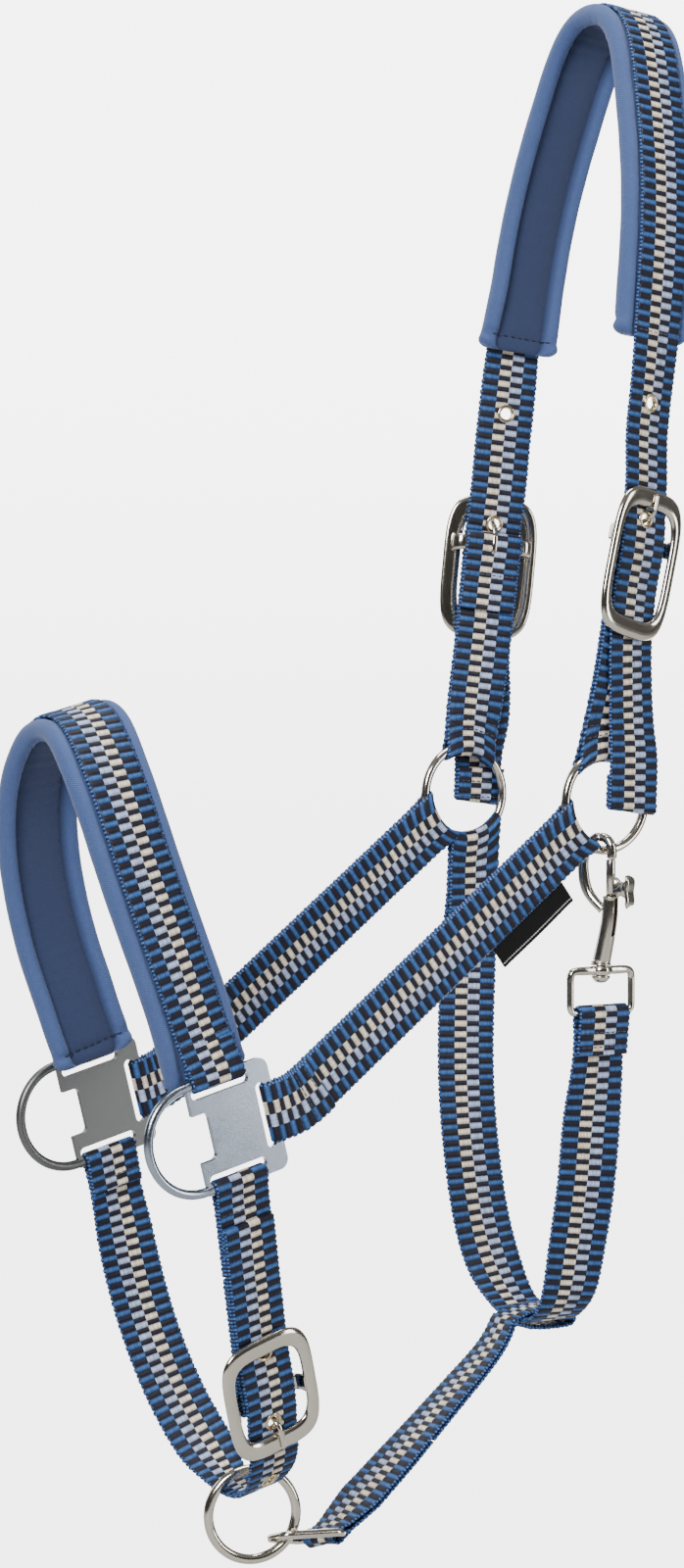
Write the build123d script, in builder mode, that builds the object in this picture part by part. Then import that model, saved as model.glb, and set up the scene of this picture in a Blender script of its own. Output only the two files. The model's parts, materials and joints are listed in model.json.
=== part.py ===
from build123d import *
from math import sin, cos, radians
import os

os.makedirs("parts", exist_ok=True)

# Horse head halter (headcollar). Origin at the underside of the crown pad over the poll,
# +X towards the neck, -X towards the nose, -Y the near (left) side, +Z up. Millimetres.

# ---- webbing and pads ----
WEB_W = 25.0            # webbing width
WEB_T = 1.8             # webbing thickness
SLAB = 2 * WEB_T + 0.1  # two layers sewn together
GAP = 0.3               # room between moving pieces
SNUG = 0.1              # room between layers that only touch
PAD_T = 8.0
PAD_W = 38.0
PAD_LOW = 34.5          # lower end of the nose pad, above the plate centres
SIDE = 53.5             # half distance between the two side planes

# ---- layout ----
CROWN_TILT = 7.6        # crown loop leans forward going down
NOSE_TILT = 14.5        # nose loop leans forward going up
RING_DROP = 343.1       # poll to cheek ring centre, along the crown loop
BAR_DROP = 229.5        # poll to crown buckle bar
PAD_DROP = 142.0        # poll to the end of the crown pad
TAIL_DROP = 345.0       # poll to the end of the crown tail
NOSE_X, NOSE_Z = -236.3, -469.0   # centre of the nose loop at plate height
THROAT_YAW = 3.6

# ---- metal ----
RING_R, RING_WIRE = 21.0, 2.0     # cheek ring centre-line radius, wire radius
CHIN_R, CHIN_WIRE = 19.3, 2.2     # lead ring under the chin
CHIN_RING_V = -178.8              # its centre below the plates, along the nose loop
CHIN_RING_YAW = -16.0
CHIN_FOLD = (-9.4, 8.3)           # edges of the chin strap where it is bunched in the ring
PLATE_T = 2.6
PLATE_H = 48.0
DEE_R, DEE_WIRE = 22.0, 2.0
DEE_A = -8.0                      # centre of the dee's curve, from the plate centre
REAR_A = 32.0                     # rear edge of the plate
SLOT = 4.6
SLOT_L = 28.0
RIM = 3.4
STRAP_A = 8.0                     # where the nose loop crosses the plate
BUCKLE_W, BUCKLE_T = 40.0, 2.6
BAR_L, BAR_T = 7.0, 2.6           # centre bar: along the strap, and its thickness
FRAME_LIFT = 4.5                  # inner face of the frame above the bar centre
END_PLATE = 8.0
CROWN_TIP, CROWN_REAR = 22.5, 42.5   # bar centre to the frame ends
CHIN_TIP, CHIN_REAR = 24.5, 31.5
TONGUE_W, TONGUE_T = 2.4, 1.8
EYELET_R, EYELET_TUBE, EYELET_FLANGE, LIP = 2.5, 3.0, 3.9, 0.5
CROWN_PITCH, CHIN_PITCH = 50.5, 32.0
EYELET_L = 9.5                    # fastened eyelet beyond the bar, towards the tip

Y = Vector(0, 1, 0)
cs, cc = sin(radians(CROWN_TILT)), cos(radians(CROWN_TILT))
ns, nc = sin(radians(NOSE_TILT)), cos(radians(NOSE_TILT))
crown_up = Vector(cs, 0, cc)
crown_across = Vector(cc, 0, -cs)
nose_up = Vector(-ns, 0, nc)
nose_across = Vector(nc, 0, ns)
ring_x, ring_z = -RING_DROP * cs, -RING_DROP * cc
plate_x, plate_z = NOSE_X - STRAP_A * nc, NOSE_Z - STRAP_A * ns

crown_plane = Plane(origin=(0, 0, 0), x_dir=Y, z_dir=crown_across)
nose_plane = Plane(origin=(NOSE_X, 0, NOSE_Z), x_dir=Y, z_dir=nose_across)
side_plane = Plane(origin=(0, -SIDE, 0), x_dir=(1, 0, 0), z_dir=(0, -1, 0))
yaw = radians(THROAT_YAW)
throat_plane = Plane(origin=(ring_x + 1.7, 0, ring_z), x_dir=(sin(yaw), cos(yaw), 0),
                     z_dir=(cos(yaw), -sin(yaw), 0))


def face_of(points, thick):
    """Face of even thickness along a smooth line through the points."""
    mid = Edge.make_spline([Vector(*p) for p in points])
    n = 7 * len(points)
    left, right = [], []
    for i in range(n + 1):
        p, t = mid @ (i / n), mid % (i / n)
        side = Vector(-t.Y, t.X) * (thick / 2)
        left.append(p + side)
        right.append(p - side)
    make_face([Edge.make_spline(left), Edge.make_line(left[-1], right[-1]),
               Edge.make_spline(right[::-1]), Edge.make_line(right[0], left[0])])


def polygon(points, mode=Mode.ADD):
    """Closed polygon face."""
    pts = [Vector(*p) for p in points]
    make_face([Edge.make_line(a, b) for a, b in zip(pts, pts[1:] + pts[:1])], mode=mode)


def loop_outline(centre, direction, hole_l, hole_w, run, slab=SLAB):
    """Sewn end loop in profile: rounded end, then a wedge down to the flat strap."""
    d = Vector(*direction).normalized()
    s = Vector(-d.Y, d.X)
    c = Vector(*centre)
    half_l, half_w = hole_l / 2 + WEB_T, hole_w / 2 + WEB_T
    bevel = 1.4
    pts = [c - d * (half_l - bevel) + s * half_w, c - d * half_l + s * (half_w - bevel),
           c - d * half_l - s * (half_w - bevel), c - d * (half_l - bevel) - s * half_w,
           c + d * (half_l - bevel) - s * half_w, c + d * (half_l + run) - s * slab / 2,
           c + d * (half_l + run) + s * slab / 2, c + d * (half_l - bevel) + s * half_w]
    polygon(pts)


def loop_hole(centre, direction, hole_l, hole_w):
    """The tunnel through an end loop."""
    d = Vector(*direction).normalized()
    s = Vector(-d.Y, d.X)
    c = Vector(*centre)
    polygon([c - d * hole_l / 2 + s * hole_w / 2, c - d * hole_l / 2 - s * hole_w / 2,
             c + d * hole_l / 2 - s * hole_w / 2, c + d * hole_l / 2 + s * hole_w / 2],
            Mode.SUBTRACT)


def punch(pl):
    """Hole for an eyelet's tube, and flat seats for its lips where the web is curved."""
    seat = WEB_T / 2 + 0.04
    for start, amount, radius in ((-4, 8, EYELET_TUBE + 0.02), (seat, 1.5, EYELET_FLANGE + 0.1),
                                  (-seat, -1.5, EYELET_FLANGE + 0.1)):
        with BuildSketch(pl.offset(start)) as cutter:
            Circle(radius)
        extrude(cutter.sketch, amount=amount, mode=Mode.SUBTRACT)


def strip(a, b, wide):
    """Straight strip from a to b."""
    a, b = Vector(*a), Vector(*b)
    d = (b - a).normalized()
    s = Vector(-d.Y, d.X) * (wide / 2)
    polygon([a + s, b + s, b - s, a - s])


# ---- paths, as (outward, height) in the crown and nose planes ----
def buckle_path(tip, rear, tail):
    """Webbing through a buckle: (along, out), along > 0 towards the tongue tip, then its tail."""
    low = SLAB / 2 + SNUG + WEB_T / 2
    over = BAR_T / 2 + GAP + WEB_T + SNUG + WEB_T / 2
    return [(tip - 2, low - 0.2), (tip - END_PLATE + 1, low), (6.5, over - 0.25), (0, over),
            (-6.5, over - 0.15), (-16, low + 0.35), (-rear + END_PLATE + 2, low),
            (-rear - 4, low)] + tail


RING_HOLE_L, RING_HOLE_W = 6.9, 2 * RING_WIRE + 2 * GAP
ring_hole_at = RING_R - 1.15
clear = RING_HOLE_W / 2 + WEB_T + 0.45 + WEB_T / 2      # the crown tail passes outside the ring
past_ring = RING_DROP - BAR_DROP - ring_hole_at
crown_tail = [(-past_ring + 23, 3.0), (-past_ring + 13, 3.9), (-past_ring + 4, clear - 0.1),
              (-past_ring - 8, clear + 0.1), (BAR_DROP - TAIL_DROP, clear)]
chin_tail = [(-56, 3.0), (-80, 3.6)]


crown_arch = [(0, -9), (14, -5.5), (25, 6), (34, 27), (42.5, 53), (49.5, 84), (53, 120), (54, 160),
              (54.6, 190)]
crown_weave = [(SIDE + o, BAR_DROP - l)
               for l, o in buckle_path(CROWN_TIP, CROWN_REAR, crown_tail)]
crown_half = crown_arch + crown_weave
crown_mid = ([(-q, -t) for q, t in reversed(crown_half)] + [(q, -t) for q, t in crown_half[1:]])

ROOT = SIDE - WEB_T / 2 - 0.05
nose_half = [(0, 176), (14, 172.3), (27, 161), (38.5, 144), (47, 122), (52, 100), (54.3, 78),
             (54, 56), (ROOT, 40), (ROOT, 28)]
nose_mid = [(-q, v) for q, v in reversed(nose_half)] + list(nose_half[1:])

SLOT_V = PLATE_H / 2 - RIM / 2 - 0.1        # height of the rim's middle above the plate centre
RIM_HOLE = RIM + 2 * GAP
chin_top = Vector(-SIDE, -SLOT_V)
chin_bar = Vector(-33.8, -119.6)
chin_down = (chin_bar - chin_top).normalized()
chin_out = Vector(chin_down.Y, -chin_down.X)
chin_near = [chin_bar + chin_down * l + chin_out * o
             for l, o in reversed(buckle_path(CHIN_TIP, CHIN_REAR, chin_tail))]
chin_far = [(-24.5, -155.5), (-13, -164), (0, -166.8), (13, -164), (26, -154), (40, -137),
            (51, -113), (56, -87), (56.2, -62), (SIDE + 1.6, -42), (SIDE + 0.95, -28)]
chin_mid = [(p.X, p.Y) for p in chin_near] + chin_far

throat_mid = [(SIDE - 0.2, -26), (SIDE - 0.9, -60), (49.8, -100), (44.8, -133), (36.5, -168),
              (26.5, -200), (17.5, -220), (9, -228.6), (0, -230), (-9, -228.6), (-17.5, -220),
              (-26.5, -200), (-37, -168), (-45.5, -135), (-51, -112), (-SIDE, -98)]


def near_point(q, t):
    return Y * (-q) - crown_up * t


def trim_ring_end(direction, hold=8.9, reach=12.0):
    """Bunch the web where it folds round a ring: cut the two corners away."""
    c = Vector(ring_x, -SIDE, ring_z)
    pl = Plane(origin=c, x_dir=direction, z_dir=(0, -1, 0))
    for sgn in (1, -1):
        with BuildSketch(pl) as corner:
            polygon([(8, sgn * hold), (15, sgn * hold), (15 + reach, sgn * (WEB_W / 2 + 0.01)),
                     (15 + reach, sgn * 20), (8, sgn * 20)])
        extrude(corner.sketch, amount=9, both=True, mode=Mode.SUBTRACT)


def where(edge, measure, value):
    """How far along the edge a growing measure reaches a value."""
    lo, hi = 0.0, 1.0
    for _ in range(40):
        mid = (lo + hi) / 2
        lo, hi = (mid, hi) if measure(edge @ mid) < value else (lo, mid)
    return lo


# ================= crown =================
crown_edge = Edge.make_spline([Vector(*p) for p in crown_half])
eyelet_planes = []
for t in (BAR_DROP - EYELET_L - CROWN_PITCH, BAR_DROP - EYELET_L):
    u = where(crown_edge, lambda p: p.Y, t)
    p, d = crown_edge @ u, crown_edge % u
    eyelet_planes.append(Plane(origin=near_point(p.X, p.Y), x_dir=crown_across,
                               z_dir=Y * -d.Y + crown_up * d.X))

with BuildPart() as crown_strap:
    with BuildSketch(crown_plane):
        face_of(crown_mid, WEB_T)
    extrude(amount=WEB_W / 2, both=True)
    for pl in eyelet_planes:
        punch(pl)
        punch(Plane(origin=(pl.origin.X, -pl.origin.Y, pl.origin.Z), x_dir=crown_across,
                    z_dir=(pl.z_dir.X, -pl.z_dir.Y, pl.z_dir.Z)))

pad_line = []
for q, t in crown_arch[:-2]:
    pad_line.append((q, t))
pad_line.append((53.8, PAD_DROP))
crown_pad_mid = [(-q, -t) for q, t in reversed(pad_line)] + [(q, -t) for q, t in pad_line[1:]]


def inside_of(points, shift):
    """The same line moved inwards by shift."""
    mid = Edge.make_spline([Vector(*p) for p in points])
    out = []
    n = 3 * len(points)
    for i in range(n + 1):
        p, t = mid @ (i / n), mid % (i / n)
        inner = p - Vector(-t.Y, t.X) * shift
        out.append((inner.X, inner.Y))
    return out


with BuildPart() as crown_pad:
    with BuildLine(crown_plane) as crown_pad_path:
        Spline(*inside_of(crown_pad_mid, WEB_T / 2 + SNUG / 2 + PAD_T / 2))
    with BuildSketch(Plane(origin=crown_pad_path.line @ 0, x_dir=crown_across,
                           z_dir=crown_pad_path.line % 0)):
        RectangleRounded(PAD_W, PAD_T, PAD_T / 2 - 0.1)
    sweep()

with BuildPart() as crown_hanger_near:
    with BuildSketch(crown_plane):
        strip((-SIDE, -BAR_DROP - 8), (-SIDE, -RING_DROP + ring_hole_at + 6), SLAB)
        loop_outline((-SIDE, -BAR_DROP), (0, -1), BAR_L + 2 * GAP, BAR_T + 2 * GAP, 12)
        loop_outline((-SIDE, -RING_DROP + ring_hole_at), (0, 1), RING_HOLE_L, RING_HOLE_W, 9)
        loop_hole((-SIDE, -BAR_DROP), (0, 1), BAR_L + 2 * GAP, BAR_T + 2 * GAP)
        loop_hole((-SIDE, -RING_DROP + ring_hole_at), (0, 1), RING_HOLE_L, RING_HOLE_W)
    extrude(amount=WEB_W / 2, both=True)
    trim_ring_end(crown_up)
    with BuildSketch(Plane(origin=near_point(SIDE, BAR_DROP), x_dir=crown_across, z_dir=-Y)):
        with Locations((0, 1)):
            Rectangle(TONGUE_W + 1.6, BAR_L + 7)
    extrude(amount=5, both=True, mode=Mode.SUBTRACT)

with BuildPart() as crown_hanger_far:
    add(mirror(crown_hanger_near.part, about=Plane.XZ))


def build_buckle(bar, tip_dir, across, tip, rear):
    """Flat frame with two broad ends and a dropped centre bar."""
    out = across.cross(tip_dir)
    base = Plane(origin=bar, x_dir=across, z_dir=out)
    with BuildSketch(base.offset(FRAME_LIFT)) as frame:
        with Locations((0, (tip - rear) / 2)):
            RectangleRounded(BUCKLE_W, tip + rear, 12.5)
            RectangleRounded(BUCKLE_W - 9.6, tip + rear - 2 * END_PLATE, 6.5, mode=Mode.SUBTRACT)
    body = extrude(frame.sketch, amount=BUCKLE_T)
    fillet(body.edges().filter_by(lambda e: abs((e.center() - base.origin).dot(out)
                                                - FRAME_LIFT) < 0.01), 0.9)
    fillet(body.edges().filter_by(lambda e: abs((e.center() - base.origin).dot(out)
                                                - FRAME_LIFT - BUCKLE_T) < 0.01), 1.2)
    with BuildSketch(base.offset(-BAR_T / 2)) as bar_face:
        Rectangle(BUCKLE_W - 4, BAR_L)
    extrude(bar_face.sketch, amount=BAR_T)
    with BuildSketch(base.offset(-BAR_T / 2)) as lugs:
        with Locations((BUCKLE_W / 2 - 3.6, 0), (3.6 - BUCKLE_W / 2, 0)):
            Rectangle(3.2, BAR_L)
    extrude(lugs.sketch, amount=FRAME_LIFT + BAR_T / 2 + 1)


def build_tongue(bar, tip_dir, across, tip):
    """Flat tongue: a wrap round the bar and a cranked shank through the eyelet."""
    out = across.cross(tip_dir)
    profile = Plane(origin=bar, x_dir=tip_dir, z_dir=tip_dir.cross(out))
    rest = FRAME_LIFT + BUCKLE_T + 0.06
    wall = 1.3
    with BuildSketch(profile) as side_view:
        RectangleRounded(BAR_L + 2 * GAP + 2 * wall, BAR_T + 2 * GAP + 2 * wall, 1.6)
        Rectangle(BAR_L + 2 * GAP, BAR_T + 2 * GAP, mode=Mode.SUBTRACT)
        polygon([(4.2, -0.9), (8.4, 0), (9.7, 1.9), (11.1, 5.3), (12.2, rest), (tip - 1.5, rest),
                 (tip - 0.9, rest + 0.6), (tip - 1.5, rest + TONGUE_T), (10.9, rest + TONGUE_T),
                 (9.5, rest + 0.3), (7.7, 2.4), (6.8, 1.5), (4.2, 0.9)])
    extrude(side_view.sketch, amount=TONGUE_W / 2, both=True)


crown_bar = near_point(SIDE, BAR_DROP)
with BuildPart() as crown_buckle_near:
    build_buckle(crown_bar, crown_up, crown_across, CROWN_TIP, CROWN_REAR)
with BuildPart() as crown_buckle_far:
    add(mirror(crown_buckle_near.part, about=Plane.XZ))
with BuildPart() as crown_tongue_near:
    build_tongue(crown_bar, crown_up, crown_across, CROWN_TIP)
with BuildPart() as crown_tongue_far:
    add(mirror(crown_tongue_near.part, about=Plane.XZ))


def build_eyelet(pl):
    """Rolled eyelet: a tube with a lip on both faces of the web."""
    h = WEB_T + 2 * LIP + 0.12
    with BuildSketch(pl.offset(-h / 2)) as tube:
        Circle(EYELET_TUBE)
        Circle(EYELET_R, mode=Mode.SUBTRACT)
    extrude(tube.sketch, amount=h)
    for z in (-h / 2, h / 2 - LIP):
        with BuildSketch(pl.offset(z)) as lip:
            Circle(EYELET_FLANGE)
            Circle(EYELET_R, mode=Mode.SUBTRACT)
        extrude(lip.sketch, amount=LIP)


with BuildPart() as crown_eyelets_near:
    for pl in eyelet_planes:
        build_eyelet(pl)
with BuildPart() as crown_eyelets_far:
    add(mirror(crown_eyelets_near.part, about=Plane.XZ))

# ================= cheek =================
with BuildPart() as cheek_ring_near:
    with Locations(Location((ring_x, -SIDE, ring_z), (90, 0, 0))):
        Torus(RING_R, RING_WIRE)
with BuildPart() as cheek_ring_far:
    add(mirror(cheek_ring_near.part, about=Plane.XZ))

rim_a = REAR_A - RIM / 2 - 0.1
rim_at = Vector(plate_x + rim_a * nc, plate_z + rim_a * ns)
knee = rim_at + Vector(nc, ns) * 12
ring_at = Vector(ring_x, ring_z)
cheek_dir = (knee - ring_at).normalized()
cheek_side = Vector(-cheek_dir.Y, cheek_dir.X)
plate_dir = Vector(nc, ns)
plate_side = Vector(-ns, nc)

with BuildPart() as cheek_strap_near:
    with BuildSketch(side_plane):
        strip(ring_at + cheek_dir * (ring_hole_at + 2), knee, WEB_W)
        strip(rim_at + plate_dir * 3, knee, WEB_W)
        for sgn in (1, -1):     # fill the bend's outer corner
            polygon([knee, knee - cheek_side * (sgn * WEB_W / 2), knee + plate_side * (sgn * WEB_W / 2)])
    extrude(amount=SLAB / 2, both=True)
    # loop round the ring
    d3 = Vector(cheek_dir.X, 0, cheek_dir.Y)
    w3 = d3.cross(Vector(0, -1, 0))
    loop_pl = Plane(origin=(ring_x, -SIDE, ring_z), x_dir=d3, z_dir=w3)
    with BuildSketch(loop_pl):
        loop_outline((ring_hole_at, 0), (1, 0), RING_HOLE_L, RING_HOLE_W, 9)
    extrude(amount=WEB_W / 2, both=True)
    with BuildSketch(loop_pl):
        with Locations((ring_hole_at, 0)):
            Rectangle(RING_HOLE_L, RING_HOLE_W)
    extrude(amount=WEB_W, both=True, mode=Mode.SUBTRACT)
    trim_ring_end(d3)
    # loop round the plate's rear rim
    a3 = Vector(nc, 0, ns)
    rim_pl = Plane(origin=(rim_at.X, -SIDE, rim_at.Y), x_dir=a3, z_dir=a3.cross(Vector(0, -1, 0)))
    with BuildSketch(rim_pl):
        loop_outline((0, 0), (1, 0), RIM_HOLE, PLATE_T + 2 * GAP, 5)
    extrude(amount=WEB_W / 2, both=True)
    with BuildSketch(rim_pl):
        Rectangle(RIM_HOLE, PLATE_T + 2 * GAP)
    extrude(amount=WEB_W, both=True, mode=Mode.SUBTRACT)
with BuildPart() as cheek_strap_far:
    add(mirror(cheek_strap_near.part, about=Plane.XZ))

TAG_L, TAG_W, TAG_T = 45.0, 10.5, 1.0
with BuildPart() as label_tag:
    tag_from = ring_at + cheek_dir * 39 + cheek_side * (WEB_W / 2 + 0.05 + TAG_W / 2)
    with BuildSketch(Plane(origin=(0, -SIDE, 0), x_dir=(1, 0, 0), z_dir=(0, -1, 0))):
        strip(tag_from, tag_from + cheek_dir * TAG_L, TAG_W)
    extrude(amount=TAG_T / 2, both=True)

with BuildPart() as cheek_plate_near:
    plate_pl = Plane(origin=(plate_x, -SIDE, plate_z), x_dir=(nc, 0, ns), z_dir=(0, -1, 0))
    with BuildSketch(plate_pl.offset(-PLATE_T / 2)):
        with Locations(((REAR_A + DEE_A - 4) / 2, 0)):
            RectangleRounded(REAR_A - DEE_A + 4, PLATE_H, 4.5)
        with Locations((DEE_A - 4, 0)):
            Rectangle(9, PLATE_H, mode=Mode.SUBTRACT)
        with Locations((STRAP_A, PLATE_H / 2 - RIM - SLOT / 2), (STRAP_A, -PLATE_H / 2 + RIM + SLOT / 2)):
            SlotOverall(SLOT_L, SLOT, mode=Mode.SUBTRACT)
        with Locations((REAR_A - RIM - SLOT / 2, 0)):
            SlotOverall(SLOT_L, SLOT, rotation=90, mode=Mode.SUBTRACT)
        with Locations((-6, 0)):
            RectangleRounded(12, 20, 2.5, mode=Mode.SUBTRACT)
    extrude(amount=PLATE_T)
    # dee: a round wire bow running into the plate's top and bottom rails
    dee_line = Plane(origin=plate_pl.origin, x_dir=plate_pl.x_dir, z_dir=plate_pl.z_dir)
    reach = PLATE_H / 2 - DEE_WIRE
    with BuildLine(dee_line) as dee_path:
        l1 = Line((DEE_A + 3, reach), (DEE_A, reach))
        c1 = ThreePointArc((DEE_A, reach), (DEE_A - DEE_R, 0), (DEE_A, -reach))
        l2 = Line((DEE_A, -reach), (DEE_A + 3, -reach))
    with BuildSketch(Plane(origin=dee_path.line @ 0, z_dir=dee_path.line % 0)):
        Circle(DEE_WIRE)
    sweep()
with BuildPart() as cheek_plate_far:
    add(mirror(cheek_plate_near.part, about=Plane.XZ))

# ================= nose =================
with BuildPart() as noseband_strap:
    with BuildSketch(nose_plane):
        face_of(nose_mid, WEB_T)
        for sgn in (-1, 1):
            strip((sgn * SIDE, SLOT_V + 5), (sgn * SIDE, 38), SLAB)
            loop_outline((sgn * SIDE, SLOT_V), (0, 1), RIM_HOLE, PLATE_T + 2 * GAP, 8)
        for sgn in (-1, 1):
            loop_hole((sgn * SIDE, SLOT_V), (0, 1), RIM_HOLE, PLATE_T + 2 * GAP)
    extrude(amount=WEB_W / 2, both=True)

with BuildPart() as noseband_pad:
    with BuildLine(nose_plane) as nose_pad_path:
        Spline(*inside_of(nose_mid, WEB_T / 2 + SNUG + PAD_T / 2))
    with BuildSketch(Plane(origin=nose_pad_path.line @ 0, x_dir=nose_across,
                           z_dir=nose_pad_path.line % 0)):
        RectangleRounded(PAD_W, PAD_T, PAD_T / 2 - 0.1)
    sweep()
    with BuildSketch(nose_plane):
        with Locations((0, PAD_LOW - 10)):
            Rectangle(3 * SIDE, 20)
    extrude(amount=PAD_W, both=True, mode=Mode.SUBTRACT)

chin_edge = Edge.make_spline([Vector(*p) for p in chin_mid])
fastened = where(chin_edge, lambda p: (p - chin_bar).dot(chin_down), EYELET_L)


def chin_plane_at(shift):
    """Plane on the chin strap, a distance along it from the fastened eyelet, facing outwards."""
    u = fastened + shift / chin_edge.length
    p, d = chin_edge @ u, chin_edge % u
    out = Vector(d.Y, -d.X)
    return Plane(origin=nose_plane.from_local_coords(p), x_dir=nose_across,
                 z_dir=Y * out.X + nose_up * out.Y)


chin_eyelet_planes = [chin_plane_at(k * CHIN_PITCH) for k in (-1, 0, 1)]
with BuildPart() as chin_hanger_near:
    with BuildSketch(nose_plane):
        strip(chin_top + chin_down * 5, chin_bar - chin_down * 8, SLAB)
        loop_outline(chin_top, (0, -1), RIM_HOLE, PLATE_T + 2 * GAP, 6)
        loop_outline(chin_bar, chin_down * -1, BAR_L + 2 * GAP, BAR_T + 2 * GAP, 12)
        loop_hole(chin_top, (0, -1), RIM_HOLE, PLATE_T + 2 * GAP)
        loop_hole(chin_bar, chin_down, BAR_L + 2 * GAP, BAR_T + 2 * GAP)
    extrude(amount=WEB_W / 2, both=True)
    bar3 = nose_plane.from_local_coords(chin_bar)
    down3 = Y * chin_down.X + nose_up * chin_down.Y
    out3 = Y * chin_out.X + nose_up * chin_out.Y
    with BuildSketch(Plane(origin=bar3, x_dir=nose_across, z_dir=out3)):
        with Locations((0, 1 if Plane(origin=bar3, x_dir=nose_across, z_dir=out3).y_dir.dot(down3) > 0
                        else -1)):
            Rectangle(TONGUE_W + 1.6, BAR_L + 7)
    extrude(amount=5, both=True, mode=Mode.SUBTRACT)
    with BuildSketch(chin_eyelet_planes[0].offset(-WEB_T / 2 - LIP - 0.2)):
        Circle(EYELET_FLANGE + 0.3)
    extrude(amount=3, mode=Mode.SUBTRACT)

chin_across = down3.cross(out3)
with BuildPart() as chin_buckle:
    build_buckle(bar3, down3, chin_across, CHIN_TIP, CHIN_REAR)
with BuildPart() as chin_tongue:
    build_tongue(bar3, down3, chin_across, CHIN_TIP)

with BuildPart() as chin_strap:
    with BuildSketch(nose_plane):
        face_of(chin_mid, WEB_T)
        strip((SIDE, -SLOT_V - 5), (SIDE, -52), SLAB)
        loop_outline((SIDE, -SLOT_V), (0, -1), RIM_HOLE, PLATE_T + 2 * GAP, 6)
        loop_hole((SIDE, -SLOT_V), (0, -1), RIM_HOLE, PLATE_T + 2 * GAP)
    extrude(amount=WEB_W / 2, both=True)
    # bunched where it folds through the lead ring
    for edge, beyond in ((CHIN_FOLD[0], -30), (CHIN_FOLD[1], 30)):
        full = WEB_W / 2 + 0.01 if edge > 0 else -WEB_W / 2 - 0.01
        with BuildSketch(Plane(origin=nose_plane.origin, x_dir=nose_across, z_dir=Y * -1)):
            polygon([(edge, -175), (edge, -161), (full, -146), (beyond, -146), (beyond, -175)])
        extrude(amount=29, both=True, mode=Mode.SUBTRACT)
    for pl in chin_eyelet_planes:
        punch(pl)
with BuildPart() as chin_eyelets:
    for pl in chin_eyelet_planes:
        build_eyelet(pl)

chin_c = nose_plane.from_local_coords(Vector(0, CHIN_RING_V))
ring_e = Vector(cos(radians(CHIN_RING_YAW)), sin(radians(CHIN_RING_YAW)), 0)
with BuildPart() as chin_ring:
    with Locations(Plane(origin=chin_c, x_dir=ring_e, z_dir=ring_e.cross(Vector(0, 0, 1)))):
        Torus(CHIN_R, CHIN_WIRE)

# ================= link, jaw and throat =================
LINK_WIRE = 1.8
LINK_HALF = 14.6
wire_dir = Vector(ring_e.X * cos(radians(-34)), ring_e.Y * cos(radians(-34)), sin(radians(-34)))
hook_at = chin_c + wire_dir * CHIN_R
link_base = Vector(-155, 0, -656)
link_dir = (hook_at - link_base).normalized()
link_len = (hook_at - link_base).length
base_dir = Vector(0, -0.953, 0.303)
base_dir = (base_dir - link_dir * base_dir.dot(link_dir)).normalized()
LINK_TOP = 5.4          # half width of the link's narrow end
with BuildPart() as chin_link:
    link_pl = Plane(origin=link_base, x_dir=link_dir, z_dir=link_dir.cross(base_dir))
    for sgn in (1, -1):
        with BuildLine(link_pl) as link_path:
            FilletPolyline((0, 0), (0, sgn * LINK_HALF), (link_len + LINK_TOP + 1, sgn * LINK_TOP),
                           (link_len + LINK_TOP + 1, 0), radius=LINK_TOP - 1.2)
        with BuildSketch(Plane(origin=link_path.line @ 0, z_dir=link_path.line % 0)):
            Circle(LINK_WIRE)
        sweep()

JAW_HALF = 9.0          # the jaw strap is bunched where it wraps the throat strap
knot = Vector(throat_plane.origin.X, 0, ring_z - 230)
jaw_start = knot + Vector(-17, 0, -0.8)
jaw_dir = (link_base - jaw_start).normalized()
jaw_up = jaw_dir * -1
jaw_in = (jaw_up - base_dir * jaw_up.dot(base_dir)).normalized()
LINK_HOLE = 2 * LINK_WIRE + 2 * GAP
with BuildPart() as jaw_strap:
    with BuildSketch(Plane(origin=knot, x_dir=(1, 0, 0), z_dir=(0, -1, 0))):
        with Locations((0, 0.6)):
            RectangleRounded(WEB_W + 5.2, 8.2, 3)
        strip((-10, -0.8), (-18, -0.8), SLAB)
        with Locations((0, 0.6)):
            Rectangle(WEB_W + 1.4, 4.6, mode=Mode.SUBTRACT)
    extrude(amount=JAW_HALF, both=True)
    with BuildSketch(Plane(origin=link_base, x_dir=jaw_in, z_dir=base_dir)):
        loop_outline((0, 0), (1, 0), LINK_HOLE, LINK_HOLE, 8)
        loop_hole((0, 0), (1, 0), LINK_HOLE, LINK_HOLE)
    extrude(amount=LINK_HALF - 4.8, both=True)

    end_c = link_base + jaw_in * (LINK_HOLE / 2 + WEB_T + 7)

    def jaw_section(f, roll, half):
        c = jaw_start + (end_c - jaw_start) * f
        along = (end_c - jaw_start).normalized()
        flat = Vector(0, -1, 0)
        edge = along.cross(flat)
        w = flat * cos(radians(roll)) + edge * sin(radians(roll))
        return Plane(origin=c, x_dir=w, z_dir=along), half

    for pl, half in (jaw_section(0, 0, JAW_HALF), jaw_section(0.3, -20, 12),
                     jaw_section(0.65, -36, 12.5), jaw_section(1.0, -70, 9.8)):
        with BuildSketch(pl):
            Rectangle(2 * half, SLAB)
    loft()

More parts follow.
